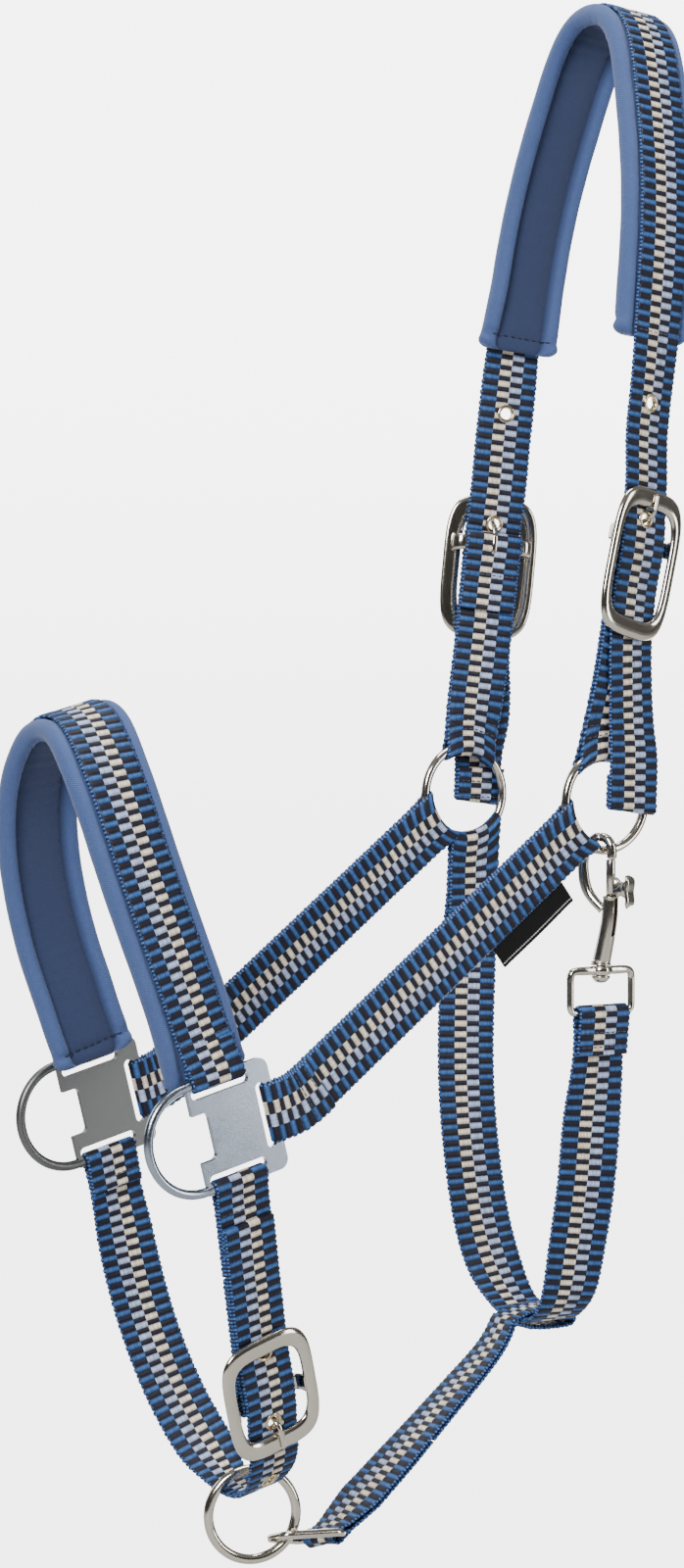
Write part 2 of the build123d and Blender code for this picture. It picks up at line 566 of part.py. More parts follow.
with BuildPart() as throat_strap:
    with BuildSketch(throat_plane):
        face_of(throat_mid, WEB_T)
        strip((SIDE - 0.1, -28), (SIDE - 0.6, -58), SLAB)
        loop_outline((SIDE, -17.6), (0, -1), 12.4, RING_HOLE_W + 1.3, 7)
        loop_hole((SIDE, -17.6), (0, -1), 12.4, RING_HOLE_W + 1.3)
        strip((-SIDE + 0.1, -96), (-SIDE + 2.6, -112), SLAB)
        loop_outline((-SIDE - 0.1, -91.0), (0, -1), 4.2, 4.2, 6)
        loop_hole((-SIDE - 0.1, -91.0), (0, -1), 4.2, 4.2)
    extrude(amount=WEB_W / 2, both=True)
    x0 = 4.9                # the far end sits a little aft of the ring's centre
    for sgn in (1, -1):
        with BuildSketch(Plane(origin=(ring_x, SIDE, ring_z), x_dir=(1, 0, 0), z_dir=(0, -1, 0))):
            polygon([(x0 + sgn * 9, -5), (x0 + sgn * 9, -22), (x0 + sgn * 12.6, -36),
                     (x0 + sgn * 20, -36), (x0 + sgn * 20, -5)])
        extrude(amount=9, both=True, mode=Mode.SUBTRACT)

# ================= trigger snap =================
SNAP_X = ring_x - 2.1
EYE_TOP, EYE_BOTTOM = -72.7, -91.0
EYE_HALF, EYE_WIRE = 15.6, 1.7
STUD_R = 2.0
snap_c = Vector(SNAP_X, -SIDE, ring_z)
hook_yaw = radians(-65)
hook_dir = Vector(cos(hook_yaw), sin(hook_yaw), 0)
hook_pl = Plane(origin=snap_c, x_dir=hook_dir, z_dir=hook_dir.cross(Vector(0, 0, 1)))
BOLT_H, BOLT_R = 4.7, 1.5
BARREL_R, BARREL_TOP, BARREL_LOW = 3.7, -40.0, -62.0
NOSE_LOW = -24.5
TRAVEL = 8.0


def at(h, z):
    return snap_c + hook_dir * h + Vector(0, 0, z)


with BuildPart() as snap_swivel_eye:
    for sgn in (1, -1):
        with BuildLine(Plane(origin=snap_c, x_dir=throat_plane.z_dir,
                             z_dir=throat_plane.x_dir * -1)) as eye_path:
            FilletPolyline((0, EYE_TOP), (sgn * EYE_HALF, EYE_TOP), (sgn * EYE_HALF, EYE_BOTTOM),
                           (0, EYE_BOTTOM), radius=2.6)
        with BuildSketch(Plane(origin=eye_path.line @ 0, z_dir=eye_path.line % 0)):
            Circle(EYE_WIRE)
        sweep()
    with BuildSketch(Plane.XY.offset(ring_z + EYE_TOP - 2.2)):
        with Locations((snap_c.X, snap_c.Y)):
            Circle(5)
    extrude(amount=4.4)
    with BuildSketch(Plane.XY.offset(ring_z + EYE_TOP - 4)):
        with Locations((snap_c.X, snap_c.Y)):
            Circle(STUD_R + 0.06)
    extrude(amount=8, mode=Mode.SUBTRACT)

with BuildPart() as snap_hook:
    with BuildLine(hook_pl) as hook_path:
        Spline((2.6, -45), (-4.6, -41.4), (-8.4, -32), (-7.6, -21.5), (-2, -15.4), (3.4, -16.9),
               (BOLT_H + 0.4, NOSE_LOW + 2.2))
    with BuildSketch(Plane(origin=hook_path.line @ 0, z_dir=hook_path.line % 0)):
        Circle(2.2)
    sweep()
    with BuildSketch(Plane.XY.offset(ring_z + NOSE_LOW)):
        with Locations((at(BOLT_H + 0.2, 0).X, at(BOLT_H + 0.2, 0).Y)):
            Circle(2.2)
    extrude(amount=4.2)
    with BuildSketch(Plane.XY.offset(ring_z + BARREL_LOW)):
        with Locations((at(BOLT_H, 0).X, at(BOLT_H, 0).Y)):
            Circle(BARREL_R)
    extrude(amount=BARREL_TOP - BARREL_LOW)
    # foot from the barrel down to the collar
    with BuildSketch(Plane.XY.offset(ring_z + BARREL_LOW)):
        with Locations((at(BOLT_H, 0).X, at(BOLT_H, 0).Y)):
            Circle(BARREL_R)
    with BuildSketch(Plane.XY.offset(ring_z - 68.6)):
        with Locations((snap_c.X, snap_c.Y)):
            Circle(3.2)
    loft()
    with BuildSketch(Plane.XY.offset(ring_z + EYE_TOP + 2.3)):
        with Locations((snap_c.X, snap_c.Y)):
            Circle(4.6)
    extrude(amount=1.9)
    # stud through the eye, peened over below
    with BuildSketch(Plane.XY.offset(ring_z + EYE_TOP - 5.2)):
        with Locations((snap_c.X, snap_c.Y)):
            Circle(STUD_R)
    extrude(amount=8.5)
    with BuildSketch(Plane.XY.offset(ring_z + EYE_TOP - 5.6)):
        with Locations((snap_c.X, snap_c.Y)):
            Circle(3.9)
    extrude(amount=3.2)
    # bore, open at the top, and the lever's slot
    with BuildSketch(Plane.XY.offset(ring_z + BARREL_LOW)):
        with Locations((at(BOLT_H, 0).X, at(BOLT_H, 0).Y)):
            Circle(BOLT_R + 0.15)
    extrude(amount=BARREL_TOP - BARREL_LOW + 1, mode=Mode.SUBTRACT)
    with BuildSketch(hook_pl.offset(-1.35)):
        with Locations((BOLT_H + 4, (BARREL_TOP + 1 - 56) / 2)):
            Rectangle(8, BARREL_TOP + 1 + 56)
    extrude(amount=2.7, mode=Mode.SUBTRACT)

SPRING_TOP = -48.2
with BuildPart() as snap_bolt:
    with BuildSketch(Plane.XY.offset(ring_z + SPRING_TOP + 0.1)):
        with Locations((at(BOLT_H, 0).X, at(BOLT_H, 0).Y)):
            Circle(BOLT_R)
    extrude(amount=NOSE_LOW - 0.15 - SPRING_TOP - 0.1)
    with BuildSketch(hook_pl.offset(-1.0)):
        with BuildLine():
            Polyline((BOLT_H, -33.5), (BOLT_H + 5.2, -33.5), (BOLT_H + 6.4, -32), (BOLT_H + 9, -33.5),
                     (BOLT_H + 9.6, -44.5), (BOLT_H + 8, -45.6), (BOLT_H + 6, -41.5), (BOLT_H, -41.5),
                     close=True)
        make_face()
    extrude(amount=2.0)
    with BuildSketch(Plane(origin=at(BOLT_H + 8.6, -39), x_dir=hook_pl.z_dir, z_dir=hook_dir)):
        RectangleRounded(7.2, 13, 2.4)
    extrude(amount=1.8)

with BuildPart() as snap_spring:
    SPRING_LOW = BARREL_LOW + 0.4
    with BuildLine():
        coil = Helix(pitch=1.7, height=SPRING_TOP - SPRING_LOW - 0.6, radius=1.15,
                     center=at(BOLT_H, SPRING_LOW + 0.3))
    with BuildSketch(Plane(origin=coil @ 0, z_dir=coil % 0)):
        Circle(0.25)
    sweep(is_frenet=True)

nodes = {
    "crown_strap": crown_strap, "crown_pad": crown_pad, "crown_hanger_near": crown_hanger_near,
    "crown_hanger_far": crown_hanger_far, "crown_buckle_near": crown_buckle_near,
    "crown_buckle_far": crown_buckle_far, "crown_tongue_near": crown_tongue_near,
    "crown_tongue_far": crown_tongue_far, "crown_eyelets_near": crown_eyelets_near,
    "crown_eyelets_far": crown_eyelets_far, "cheek_ring_near": cheek_ring_near,
    "cheek_ring_far": cheek_ring_far, "cheek_strap_near": cheek_strap_near,
    "cheek_strap_far": cheek_strap_far, "label_tag": label_tag,
    "cheek_plate_near": cheek_plate_near, "cheek_plate_far": cheek_plate_far,
    "noseband_strap": noseband_strap, "noseband_pad": noseband_pad,
    "chin_hanger_near": chin_hanger_near, "chin_buckle": chin_buckle, "chin_tongue": chin_tongue,
    "chin_strap": chin_strap, "chin_eyelets": chin_eyelets, "chin_ring": chin_ring,
    "chin_link": chin_link, "jaw_strap": jaw_strap, "throat_strap": throat_strap,
    "snap_swivel_eye": snap_swivel_eye, "snap_hook": snap_hook, "snap_bolt": snap_bolt,
    "snap_spring": snap_spring,
}
for label, node in nodes.items():
    node.part.label = label
    export_step(node.part, "parts/" + label + ".step")
    bb = node.part.bounding_box()
    print(label, len(node.part.solids()), round(node.part.volume, 1), node.part.is_valid,
          [round(v, 1) for v in (*bb.min, *bb.max)])
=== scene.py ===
import json
import math
import random
from math import cos, radians, sin

import bmesh
import bpy
import numpy as np
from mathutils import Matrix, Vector

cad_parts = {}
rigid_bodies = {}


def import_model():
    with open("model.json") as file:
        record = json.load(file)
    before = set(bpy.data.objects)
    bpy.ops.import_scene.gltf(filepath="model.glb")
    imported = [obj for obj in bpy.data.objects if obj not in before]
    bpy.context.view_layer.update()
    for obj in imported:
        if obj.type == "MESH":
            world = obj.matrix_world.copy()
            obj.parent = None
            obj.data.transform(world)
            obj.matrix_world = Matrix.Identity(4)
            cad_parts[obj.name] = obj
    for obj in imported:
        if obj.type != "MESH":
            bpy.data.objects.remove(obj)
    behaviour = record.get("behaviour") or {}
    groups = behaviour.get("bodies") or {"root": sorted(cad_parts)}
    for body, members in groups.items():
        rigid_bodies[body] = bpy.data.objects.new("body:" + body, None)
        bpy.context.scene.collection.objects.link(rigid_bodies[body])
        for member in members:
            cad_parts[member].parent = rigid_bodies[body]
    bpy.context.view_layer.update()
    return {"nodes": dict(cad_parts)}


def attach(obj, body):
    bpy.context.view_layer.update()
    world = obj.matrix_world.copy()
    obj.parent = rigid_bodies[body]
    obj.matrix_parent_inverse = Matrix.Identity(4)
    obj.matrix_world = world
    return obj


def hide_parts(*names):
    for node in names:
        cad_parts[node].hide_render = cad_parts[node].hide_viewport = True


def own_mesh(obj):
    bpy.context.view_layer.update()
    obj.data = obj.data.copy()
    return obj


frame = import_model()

rng = random.Random(7)
MM = 0.001

# ---- the part's layout, in millimetres ----
SIDE = 53.5
CROWN_TILT, NOSE_TILT = radians(7.6), radians(14.5)
Y = np.array([0.0, 1.0, 0.0])
UP = np.array([0, 0, 1.0])
CU = np.array([sin(CROWN_TILT), 0, cos(CROWN_TILT)])        # up the crown
CA = np.array([cos(CROWN_TILT), 0, -sin(CROWN_TILT)])       # across it, towards the neck
NU = np.array([-sin(NOSE_TILT), 0, cos(NOSE_TILT)])
NA = np.array([cos(NOSE_TILT), 0, sin(NOSE_TILT)])
RING_DROP, BAR_DROP = 343.1, 229.5
RING = np.array([-RING_DROP * sin(CROWN_TILT), 0, -RING_DROP * cos(CROWN_TILT)])
NOSE = np.array([-236.3, 0, -469.0])
RING_R = 21.0
RIM_V = 22.2            # middle of the plate's rims above and below its centre
THROAT = RING + np.array([1.7, 0, 0])
YAW = radians(3.6)
TX = np.array([sin(YAW), cos(YAW), 0])
TZ = np.array([cos(YAW), -sin(YAW), 0])

# ---- webbing ----
ROW = 2.45
SEG = 4
HALF = 12.9
CHEEK_HALF = 12.55
THICK = 1.8
COLUMNS = (0.0, 0.29, 0.51, 0.73, 1.0)


def ease(x):
    x = np.clip(x, 0.0, 1.0)
    return x * x * (3 - 2 * x)


def crown_at(q, t, lat=0.0):
    return Y * q - CU * t + CA * lat


def nose_at(q, v, lat=0.0):
    return NOSE + Y * q + NU * v + NA * lat


def throat_at(q, z, lat=0.0):
    return THROAT + TX * q + np.array([0, 0, z]) + TZ * lat


def unit(v):
    return v / np.linalg.norm(v)


def units(rows):
    return rows / np.linalg.norm(rows, axis=1)[:, None]


def lengths(path):
    """Distance along a line at each of its points."""
    return np.concatenate([[0], np.cumsum(np.linalg.norm(np.diff(path, axis=0), axis=1))])


def sampled(path, d, s):
    """Points at distances s along a line whose points lie at distances d."""
    return np.stack([np.interp(s, d, path[:, i]) for i in range(path.shape[1])], axis=-1)


def skin(rings, m, base=0, closed=False):
    """Quads between neighbouring rings of m points, with end caps, or closed into a loop."""
    faces = []
    for i in range(rings if closed else rings - 1):
        here, there = base + i * m, base + (i + 1) % rings * m
        for j in range(m):
            k = (j + 1) % m
            faces.append([here + j, here + k, there + k, there + j])
    if closed:
        return faces
    last = base + (rings - 1) * m
    return faces + [[base + j for j in range(m)][::-1], [last + j for j in range(m)]]


def spline(points, step=0.5):
    """Natural cubic through the points, as a dense line."""
    p = np.array(points, float)
    h = np.linalg.norm(np.diff(p, axis=0), axis=1)
    t = np.concatenate([[0], np.cumsum(h)])
    n = len(p)
    m, r = np.zeros((n, n)), np.zeros_like(p)
    m[0, 0] = m[-1, -1] = 1
    for i in range(1, n - 1):
        m[i, i - 1], m[i, i], m[i, i + 1] = h[i - 1], 2 * (h[i - 1] + h[i]), h[i]
        r[i] = 6 * ((p[i + 1] - p[i]) / h[i] - (p[i] - p[i - 1]) / h[i - 1])
    k = np.linalg.solve(m, r)
    s = np.linspace(0, t[-1], int(t[-1] / step) + 2)
    i = np.clip(np.searchsorted(t, s) - 1, 0, n - 2)
    a, b = ((t[i + 1] - s) / h[i])[:, None], ((s - t[i]) / h[i])[:, None]
    hh = (h[i] ** 2)[:, None] / 6
    return a * p[i] + b * p[i + 1] + ((a ** 3 - a) * k[i] + (b ** 3 - b) * k[i + 1]) * hh


def wrap(s, hl, ho, sign, square=0.75):
    """Half turn round a bar as (along, out) points, from the -out side to the +out side.
    sign is the direction in which that end lies."""
    out = []
    for k in range(9):
        a = radians(-90 + 22.5 * k)
        out.append((s + sign * hl * abs(cos(a)) ** square,
                    ho * math.copysign(abs(sin(a)) ** square, sin(a))))
    return out


def smoothed(path, sigma, step=0.5):
    """Even spacing, then a light blur so corners become bends."""
    d = lengths(path)
    p = sampled(path, d, np.arange(0, d[-1], step))
    w = int(3 * sigma / step)
    k = np.exp(-0.5 * (np.arange(-w, w + 1) * step / sigma) ** 2)
    k /= k.sum()
    q = np.concatenate([2 * p[0] - p[w:0:-1], p, 2 * p[-1] - p[-2:-w - 2:-1]])
    return np.stack([np.convolve(q[:, i], k, "valid") for i in range(path.shape[1])], axis=1)


def mesh_object(name, verts, faces, attribute=None):
    me = bpy.data.meshes.new(name)
    me.from_pydata((np.asarray(verts) * MM).tolist(), [], faces)
    if attribute is not None:
        a = me.attributes.new("lay", "FLOAT_VECTOR", "POINT")
        a.data.foreach_set("vector", np.asarray(attribute, np.float32).ravel())
    me.polygons.foreach_set("use_smooth", [True] * len(me.polygons))
    ob = bpy.data.objects.new(name, me)
    bpy.context.scene.collection.objects.link(ob)
    return ob


class Strap:
    """A length of patterned webbing along a line, with its rows, columns and edges in relief."""

    def __init__(self, name, path, across, half=HALF, warp=None, start=0):
        path = np.asarray(path, float)
        d = lengths(path)
        n = int(round(d[-1] / ROW * SEG))
        s = np.linspace(0, d[-1], n + 1)

        def pick(a):
            a = np.asarray(a, float)
            if a.ndim == 1 and len(a) == 3 and len(path) != 3:
                return np.tile(a, (n + 1, 1))
            if a.ndim == 0:
                return np.full(n + 1, float(a))
            if a.ndim == 1:
                return np.interp(s, d, a)
            return sampled(a, d, s)

        self.name, self.s, self.length = name, s, d[-1]
        self.p, w, self.half = pick(path), pick(across), pick(half)
        self.t = units(np.gradient(self.p, axis=0))
        self.w = units(w - self.t * (w * self.t).sum(axis=1)[:, None])
        self.n = np.cross(self.w, self.t)
        self.warp = warp
        self.u = start * 2 * ROW + np.arange(n + 1) * ROW / SEG
        rows = np.floor(self.u / ROW + 1e-6).astype(int)
        f = self.u / ROW - rows
        bulge = np.sqrt(np.abs(np.sin(np.pi * f)))
        ring_v, ring_side, ring_col = [0.0], [0], [0]
        for side in (1, -1):
            cols = list(enumerate(zip(COLUMNS, COLUMNS[1:])))
            vs = [(lo + (hi - lo) * k, side, c) for c, (lo, hi) in cols for k in (0.1, 0.5, 0.9)]
            if side == -1:
                vs.reverse()
            for v, sd, c in vs:
                ring_v.append(v)
                ring_side.append(sd)
                ring_col.append(c)
            if side == 1:
                ring_v.append(1.0)
                ring_side.append(0)
                ring_col.append(3)
        ring_v, ring_side, ring_col = map(np.array, (ring_v, ring_side, ring_col))
        bright = ((rows[:, None] + ring_col[None, :]) % 2 == 0)
        lift = np.where(bright, 0.46, 0.33) * bulge[:, None]
        lift *= np.where(np.isin(ring_v, (0.0, 1.0)), 0, 1)[None, :]
        h = ring_side[None, :] * (THICK / 2 - 0.36 + lift)
        edge = np.where(ring_side == 0, np.where(ring_v < 0.5, -1, 1), 0)[None, :]
        jag = np.array([[rng.uniform(-0.1, 0.1)] for _ in range(n + 1)])
        across_at = ((ring_v * 2 - 1)[None, :] * (self.half[:, None] - 0.35)
                     + edge * (0.05 + 0.62 * bulge[:, None] * (0.7 + 0.3 * (rows[:, None] % 2)) + jag))
        v3 = (self.p[:, None, :] + self.w[:, None, :] * across_at[:, :, None]
              + self.n[:, None, :] * h[:, :, None])
        m = len(ring_v)
        verts = v3.reshape(-1, 3)
        if warp:
            verts = warp(verts)
        lay = np.stack([np.repeat(self.u, m), np.tile(ring_v, n + 1), np.repeat(bulge, m)], axis=1)
        self.ob = mesh_object(name, verts, skin(n + 1, m), lay)

    def at(self, s, v=0.5, out=0.0, side=1):
        """Point on the strap, and the directions along it, out of it and across it there."""
        i = int(np.clip(np.searchsorted(self.s, s), 1, len(self.s) - 1))
        k = (s - self.s[i - 1]) / (self.s[i] - self.s[i - 1])
        mix = lambda a: a[i - 1] * (1 - k) + a[i] * k
        n = mix(self.n) * side
        p = mix(self.p) + mix(self.w) * ((v * 2 - 1) * mix(self.half)) + n * (THICK / 2 + out)
        if self.warp:
            p = self.warp(p[None, :])[0]
        return p, mix(self.t), n, mix(self.w)

    def find(self, test):
        """Distance along the strap of the point with the smallest test value."""
        return self.s[int(np.argmin([test(p) for p in self.p]))]


seams = {}


def stitch(strap, path, side=1, pitch=3.3, length=2.5, radius=0.26, out=-0.02, body=None):
    """A run of stitches through (s, v) points on a strap's face."""
    pts = [strap.at(s, v, out, side)[:3:2] for s, v in path]
    sew(pts, pitch, length, radius, body)


def sew(pts, pitch, length, radius, body):
    """Stitches along (point, normal) pairs."""
    verts, faces = seams.setdefault(body, ([], []))
    for (p, n0), (q, n1) in zip(pts, pts[1:]):
        d = q - p
        span = np.linalg.norm(d)
        count = max(1, int(round(span / pitch)))
        d = d / span
        for k in range(count):
            c = p + d * span * (k + 0.5) / count
            n = n0 + (n1 - n0) * (k + 0.5) / count
            x = np.cross(d, n)
            base = len(verts)
            for a, r in ((-0.5, 0.12), (-0.34, radius), (0.0, radius * 1.15), (0.34, radius), (0.5, 0.12)):
                sink = 0.45 * (abs(a) * 2) ** 3
                for j in range(6):
                    g = j * math.pi / 3
                    verts.append(c + d * a * length + x * r * cos(g) + n * (r * sin(g) - sink + 0.1))
            faces += skin(5, 6, base)


def along_run(strap, s0, s1, v, **k):
    n = max(2, int(abs(s1 - s0) / 8) + 1)
    stitch(strap, [(s0 + (s1 - s0) * i / (n - 1), v) for i in range(n)], **k)


def cross_run(strap, s, **k):
    stitch(strap, [(s, 0.06), (s, 0.5), (s, 0.94)], pitch=2.9, **k)


def to_ring(centre, direction, across, radius=RING_R, reach=26.0):
    """Lets an end loop follow the curve of the ring that it hangs on."""
    direction, across = np.asarray(direction), np.asarray(across)

    def warp(v):
        rel = v - centre
        w = np.clip(rel @ across, -radius * 0.8, radius * 0.8)
        a = rel @ direction
        fall = ease((reach + radius - a) / reach)
        return v - direction * ((radius - np.sqrt(radius ** 2 - w ** 2)) * fall)[:, None]
    return warp


def doubled(a, b, start, length, flap=0.0):
    """(along, out) line of webbing doubled round two bars: a and b are (hl, ho, square).
    With a flap, the end turns back over the outside there as a third layer."""
    o = THICK / 2 + 0.06
    if flap:
        far = wrap(length, b[0], b[1], 1, b[2])
        return ([(length - flap, 3 * o + 0.1), (length - 9, 3 * o + 0.1), (length - 5, 3 * o - 0.1)]
                + far[::-1] + [(length - b[0] - 3.5, -o - 0.35), (length - 13, -o), (length / 2, -o),
                               (13, -o), (a[0] + 3.5, -o - 0.35)] + wrap(0, a[0], a[1], -1, a[2])
                + [(a[0] + 3.5, o + 0.35), (13, o), (length / 2, o + 0.05), (length - 14, o),
                   (length - 7.5, o)])
    first = [(start, -o), (13, -o), (a[0] + 3.5, -o - 0.35)] + wrap(0, a[0], a[1], -1, a[2])
    back = wrap(length, b[0], b[1], 1, b[2])[::-1]
    return (first + [(a[0] + 3.5, o + 0.35), (13, o), (length / 2, o + 0.05), (length - 13, o),
                     (length - b[0] - 3.5, o + 0.35)] + back
            + [(length - b[0] - 3.5, -o - 0.35), (length - 13, -o), (start + 1.0, -o)])


def on_line(line, normal, pts):
    """(along, out) points laid on a centre line, which runs straight on past both ends."""
    d = lengths(line)
    t0, t1 = unit(line[1] - line[0]), unit(line[-1] - line[-2])
    out, dirs = [], []
    for s, o in pts:
        if s < 0:
            c = line[0] + t0 * s
        elif s > d[-1]:
            c = line[-1] + t1 * (s - d[-1])
        else:
            c = sampled(line, d, s)
        out.append(c + normal * o)
        e = np.clip(s, 0.5, d[-1] - 0.5)
        dirs.append(unit(sampled(line, d, e + 0.5) - sampled(line, d, e - 0.5)))
    return np.array(out), np.array(dirs)


def doubled_strap(name, line, normal, a, b, start, beige, warp=None, start_row=0, half=HALF,
                  flap=0.0):
    """Doubled webbing on a centre line. beige is roughly the direction of the beige edge."""
    line = np.asarray(line, float)
    length = float(lengths(line)[-1])
    flat = smoothed(np.array(doubled(a, b, start, length, flap)), 0.75, 0.4)
    p, t = on_line(line, normal, flat)
    w = np.cross(t, normal)
    if w[0] @ beige > 0:
        w = -w
    strap = Strap(name, p, w, half=half, warp=warp, start=start_row)
    strap.flat = flat
    return strap


BAR_LOOP = (3.5 + 1.15, 1.3 + 1.15, 0.6)
RING_LOOP = (3.15, 3.15, 1.0)
RIM_LOOP = (1.7 + 1.15, 1.3 + 1.15, 0.7)


def weave_through(tip, rear):
    low = 1.85 + 0.1 + 0.9
    over = 1.3 + 0.3 + 1.8 + 0.1 + 0.9
    return [(tip - 2, low - 0.2), (tip - 7, low), (6.5, over - 0.25), (0, over),
            (-6.5, over - 0.15), (-16, low + 0.35), (-rear + 10, low), (-rear - 4, low)]


# ================= straps =================
crown_arch = [(0, -9), (14, -5.5), (25, 6), (34, 27), (42.5, 53), (49.5, 84), (53, 120), (54, 160),
              (54.6, 190)]
tail = [(-70.7, 3.2), (-80.7, 4.0), (-89.7, 5.3), (-101.8, 5.5), (-115.5, 5.5)]
runs = [(SIDE + o, BAR_DROP - l) for l, o in weave_through(22.5, 42.5) + tail]
near_lat = [0] * 16 + [1.0, 5.4, 7.0, 8.2, 9.6, 11.0]      # the tails swing back behind the hangers
far_lat = [0] * 16 + [0.6, 4.4, 6.6, 8.4, 10.0, 11.2]
half_line = crown_arch + runs
near = [crown_at(-q, t, l) for (q, t), l in zip(half_line, near_lat)]
far = [crown_at(q, t, l) for (q, t), l in zip(half_line, far_lat)]


def folded_end(line, inward, reach=15.0):
    """Turns the last bit of a strap back on its inner side."""
    p, q = line[-1], line[-2]
    d = unit(q - p)
    return [p - d * 1.0 + inward * 0.95, p + inward * 1.95, p + d * reach + inward * 1.95]


crown_line = spline(near[::-1] + far[1:])
near_end = folded_end(crown_line[::-1], Y)
far_end = folded_end(crown_line, -Y)
crown_path = smoothed(np.concatenate([near_end[::-1], crown_line, far_end]), 0.9)
crown = Strap("web_crown", crown_path, CA)

hangers = {}
for side, label in ((-1, "near"), (1, "far")):
    line = [crown_at(side * SIDE, BAR_DROP),
            crown_at(side * SIDE, RING_DROP - RING_R, -4.5 if side < 0 else 0.0)]
    hangers[label] = doubled_strap("web_crown_hanger_" + label, line, Y * side, BAR_LOOP, RING_LOOP,
                                   30.0, -CA, warp=to_ring(RING + Y * side * SIDE, CU, CA),
                                   start_row=3)

# cheek straps, with the bend before the plate
rim_at = NOSE - NA * 8.0 + NA * 30.2      # the plate's rear rim
knee = rim_at + NA * 12
cheek_dir = unit(knee - RING)
cheek_up = np.cross(Y, cheek_dir)
cheeks = {}
for side, label in ((-1, "near"), (1, "far")):
    y = Y * side * SIDE
    line = smoothed(np.array([RING + y + cheek_dir * RING_R, knee + y - cheek_dir * 14, knee + y,
                              rim_at + y]), 5.0)
    cheeks[label] = doubled_strap("web_cheek_" + label, line, Y * side, RING_LOOP, RIM_LOOP, 0.0,
                                  cheek_up, warp=to_ring(RING + y, cheek_dir, cheek_up),
                                  start_row=1, half=CHEEK_HALF, flap=24.0)

nose_half = [(0, 176), (14, 172.3), (27, 161), (38.5, 144), (47, 122), (52, 100), (54.3, 78), (54, 56),
             (52.8, 40), (53.6, 32), (54.8, 27)]
nose_near = [(0, 176), (13, 172.5), (24.5, 162), (34, 146), (41, 124), (45.8, 100), (49.3, 78),
             (51.3, 56), (52.2, 40), (53.6, 32), (54.8, 27)]
nose_lean = [2.0, 0.8, -1.6, -3.8, -5.0, -4.9, -3.9, -2.4, -1.2, -0.5, 0]


def rim_return(sign, side, deep=16.0):
    """From the outer layer round a plate rim and back inside. sign is 1 for the top rim."""
    c = sign * RIM_V
    arc = [(c - sign * hl, o) for hl, o in wrap(0, RIM_LOOP[0], RIM_LOOP[1], 1, 0.7)][::-1]
    pts = [(side * (SIDE + o), v) for v, o in arc]
    pts += [(side * (SIDE - 1.6), c + sign * 6), (side * (SIDE - 0.95), c + sign * 11),
            (side * (SIDE - 0.95), c + sign * deep)]
    return [nose_at(q, v) for q, v in pts]


nose_mid = spline([nose_at(-q, v, l) for (q, v), l in zip(nose_near[::-1], nose_lean[::-1])]
                  + [nose_at(q, v, l) for (q, v), l in zip(nose_half[1:], nose_lean[1:])])
nose_path = np.concatenate([rim_return(1, -1)[::-1], nose_mid, rim_return(1, 1)])
nose = Strap("web_noseband", smoothed(nose_path, 0.8), -NA, start=2)

# chin
chin_top = np.array([-SIDE, -RIM_V])
chin_bar = np.array([-33.8, -119.6])
chin_down = unit(chin_bar - chin_top)
chin_out = np.array([chin_down[1], -chin_down[0]])
down3, out3 = Y * chin_down[0] + NU * chin_down[1], Y * chin_out[0] + NU * chin_out[1]
chin_hanger = doubled_strap("web_chin_hanger", [nose_at(*chin_top), nose_at(*chin_bar)], out3,
                            RIM_LOOP, BAR_LOOP, 40.0, NA, start_row=5)
chin_line = [chin_bar + chin_down * l + chin_out * o
             for l, o in (weave_through(24.5, 31.5) + [(-56, 3.0), (-80, 3.6)])[::-1]]
chin_far = [(-24.5, -155.5), (-13, -164), (0, -166.8), (13, -164), (26, -154), (40, -137), (51, -113),
            (56, -87), (56.2, -62), (55.1, -42), (54.9, -28)]
chin_mid = spline([nose_at(*p) for p in chin_line] + [nose_at(*p) for p in chin_far])
chin_tail = folded_end(chin_mid[::-1], -out3, 12.0)
chin_path = smoothed(np.concatenate([chin_tail[::-1], chin_mid, rim_return(-1, 1)]), 0.8)
RING_C = NOSE - NU * 178.8
rise = (chin_path - NOSE) @ NU
gather = np.exp(-((rise + 168.5) / 9.0) ** 2)      # 1 where the strap is bunched in the lead ring
chin_half = 12.5 - 3.2 * gather
turn = radians(22) * ease((chin_path[:, 1] - 14) / 18) * ease((-rise - 34) / 38)
chin_w = Y * np.sin(turn)[:, None] - NA * np.cos(turn)[:, None]
chin = Strap("web_chin", chin_path - np.outer(0.7 * gather, NA), chin_w, half=chin_half, start=4)

# throat
throat_mid = [(53.3, -26, 0), (55.0, -60, -0.6), (56.6, -100, -1.8), (54.4, -133, -3.0),
              (47.5, -168, -3.6), (36.5, -200, -3.4), (24, -220, -1.6), (11, -228.8, -0.3),
              (0, -230, 0), (-14, -229.2, 0),
              (-24.0, -221, 0.4), (-31.5, -201, 0.8), (-40, -168, 0.8), (-46.0, -135, 0.2),
              (-49.9, -115, 0), (-51.3, -101, 0)]
far_loop = [(SIDE + o, -21.0 + l) for l, o in wrap(0, 3.2, 3.2, 1, 1.0)][::-1]
far_bits = [throat_at(q, z) for q, z in
            [(SIDE - 0.8, -58), (SIDE - 0.95, -34), (SIDE - 1.9, -27)] + far_loop[::-1]]
near_loop = [(-SIDE - o, -91.0 + l) for l, o in wrap(0, 2.85, 2.85, 1, 1.0)]
near_bits = [throat_at(q, z) for q, z in near_loop + [(-SIDE - 2.2, -96), (-SIDE - 1.3, -102),
                                                       (-SIDE - 0.4, -109.5)]]
throat_line = spline([throat_at(q + (0.95 if z > -62 and q > 0 else 0), z, lat)
                      for q, z, lat in throat_mid])
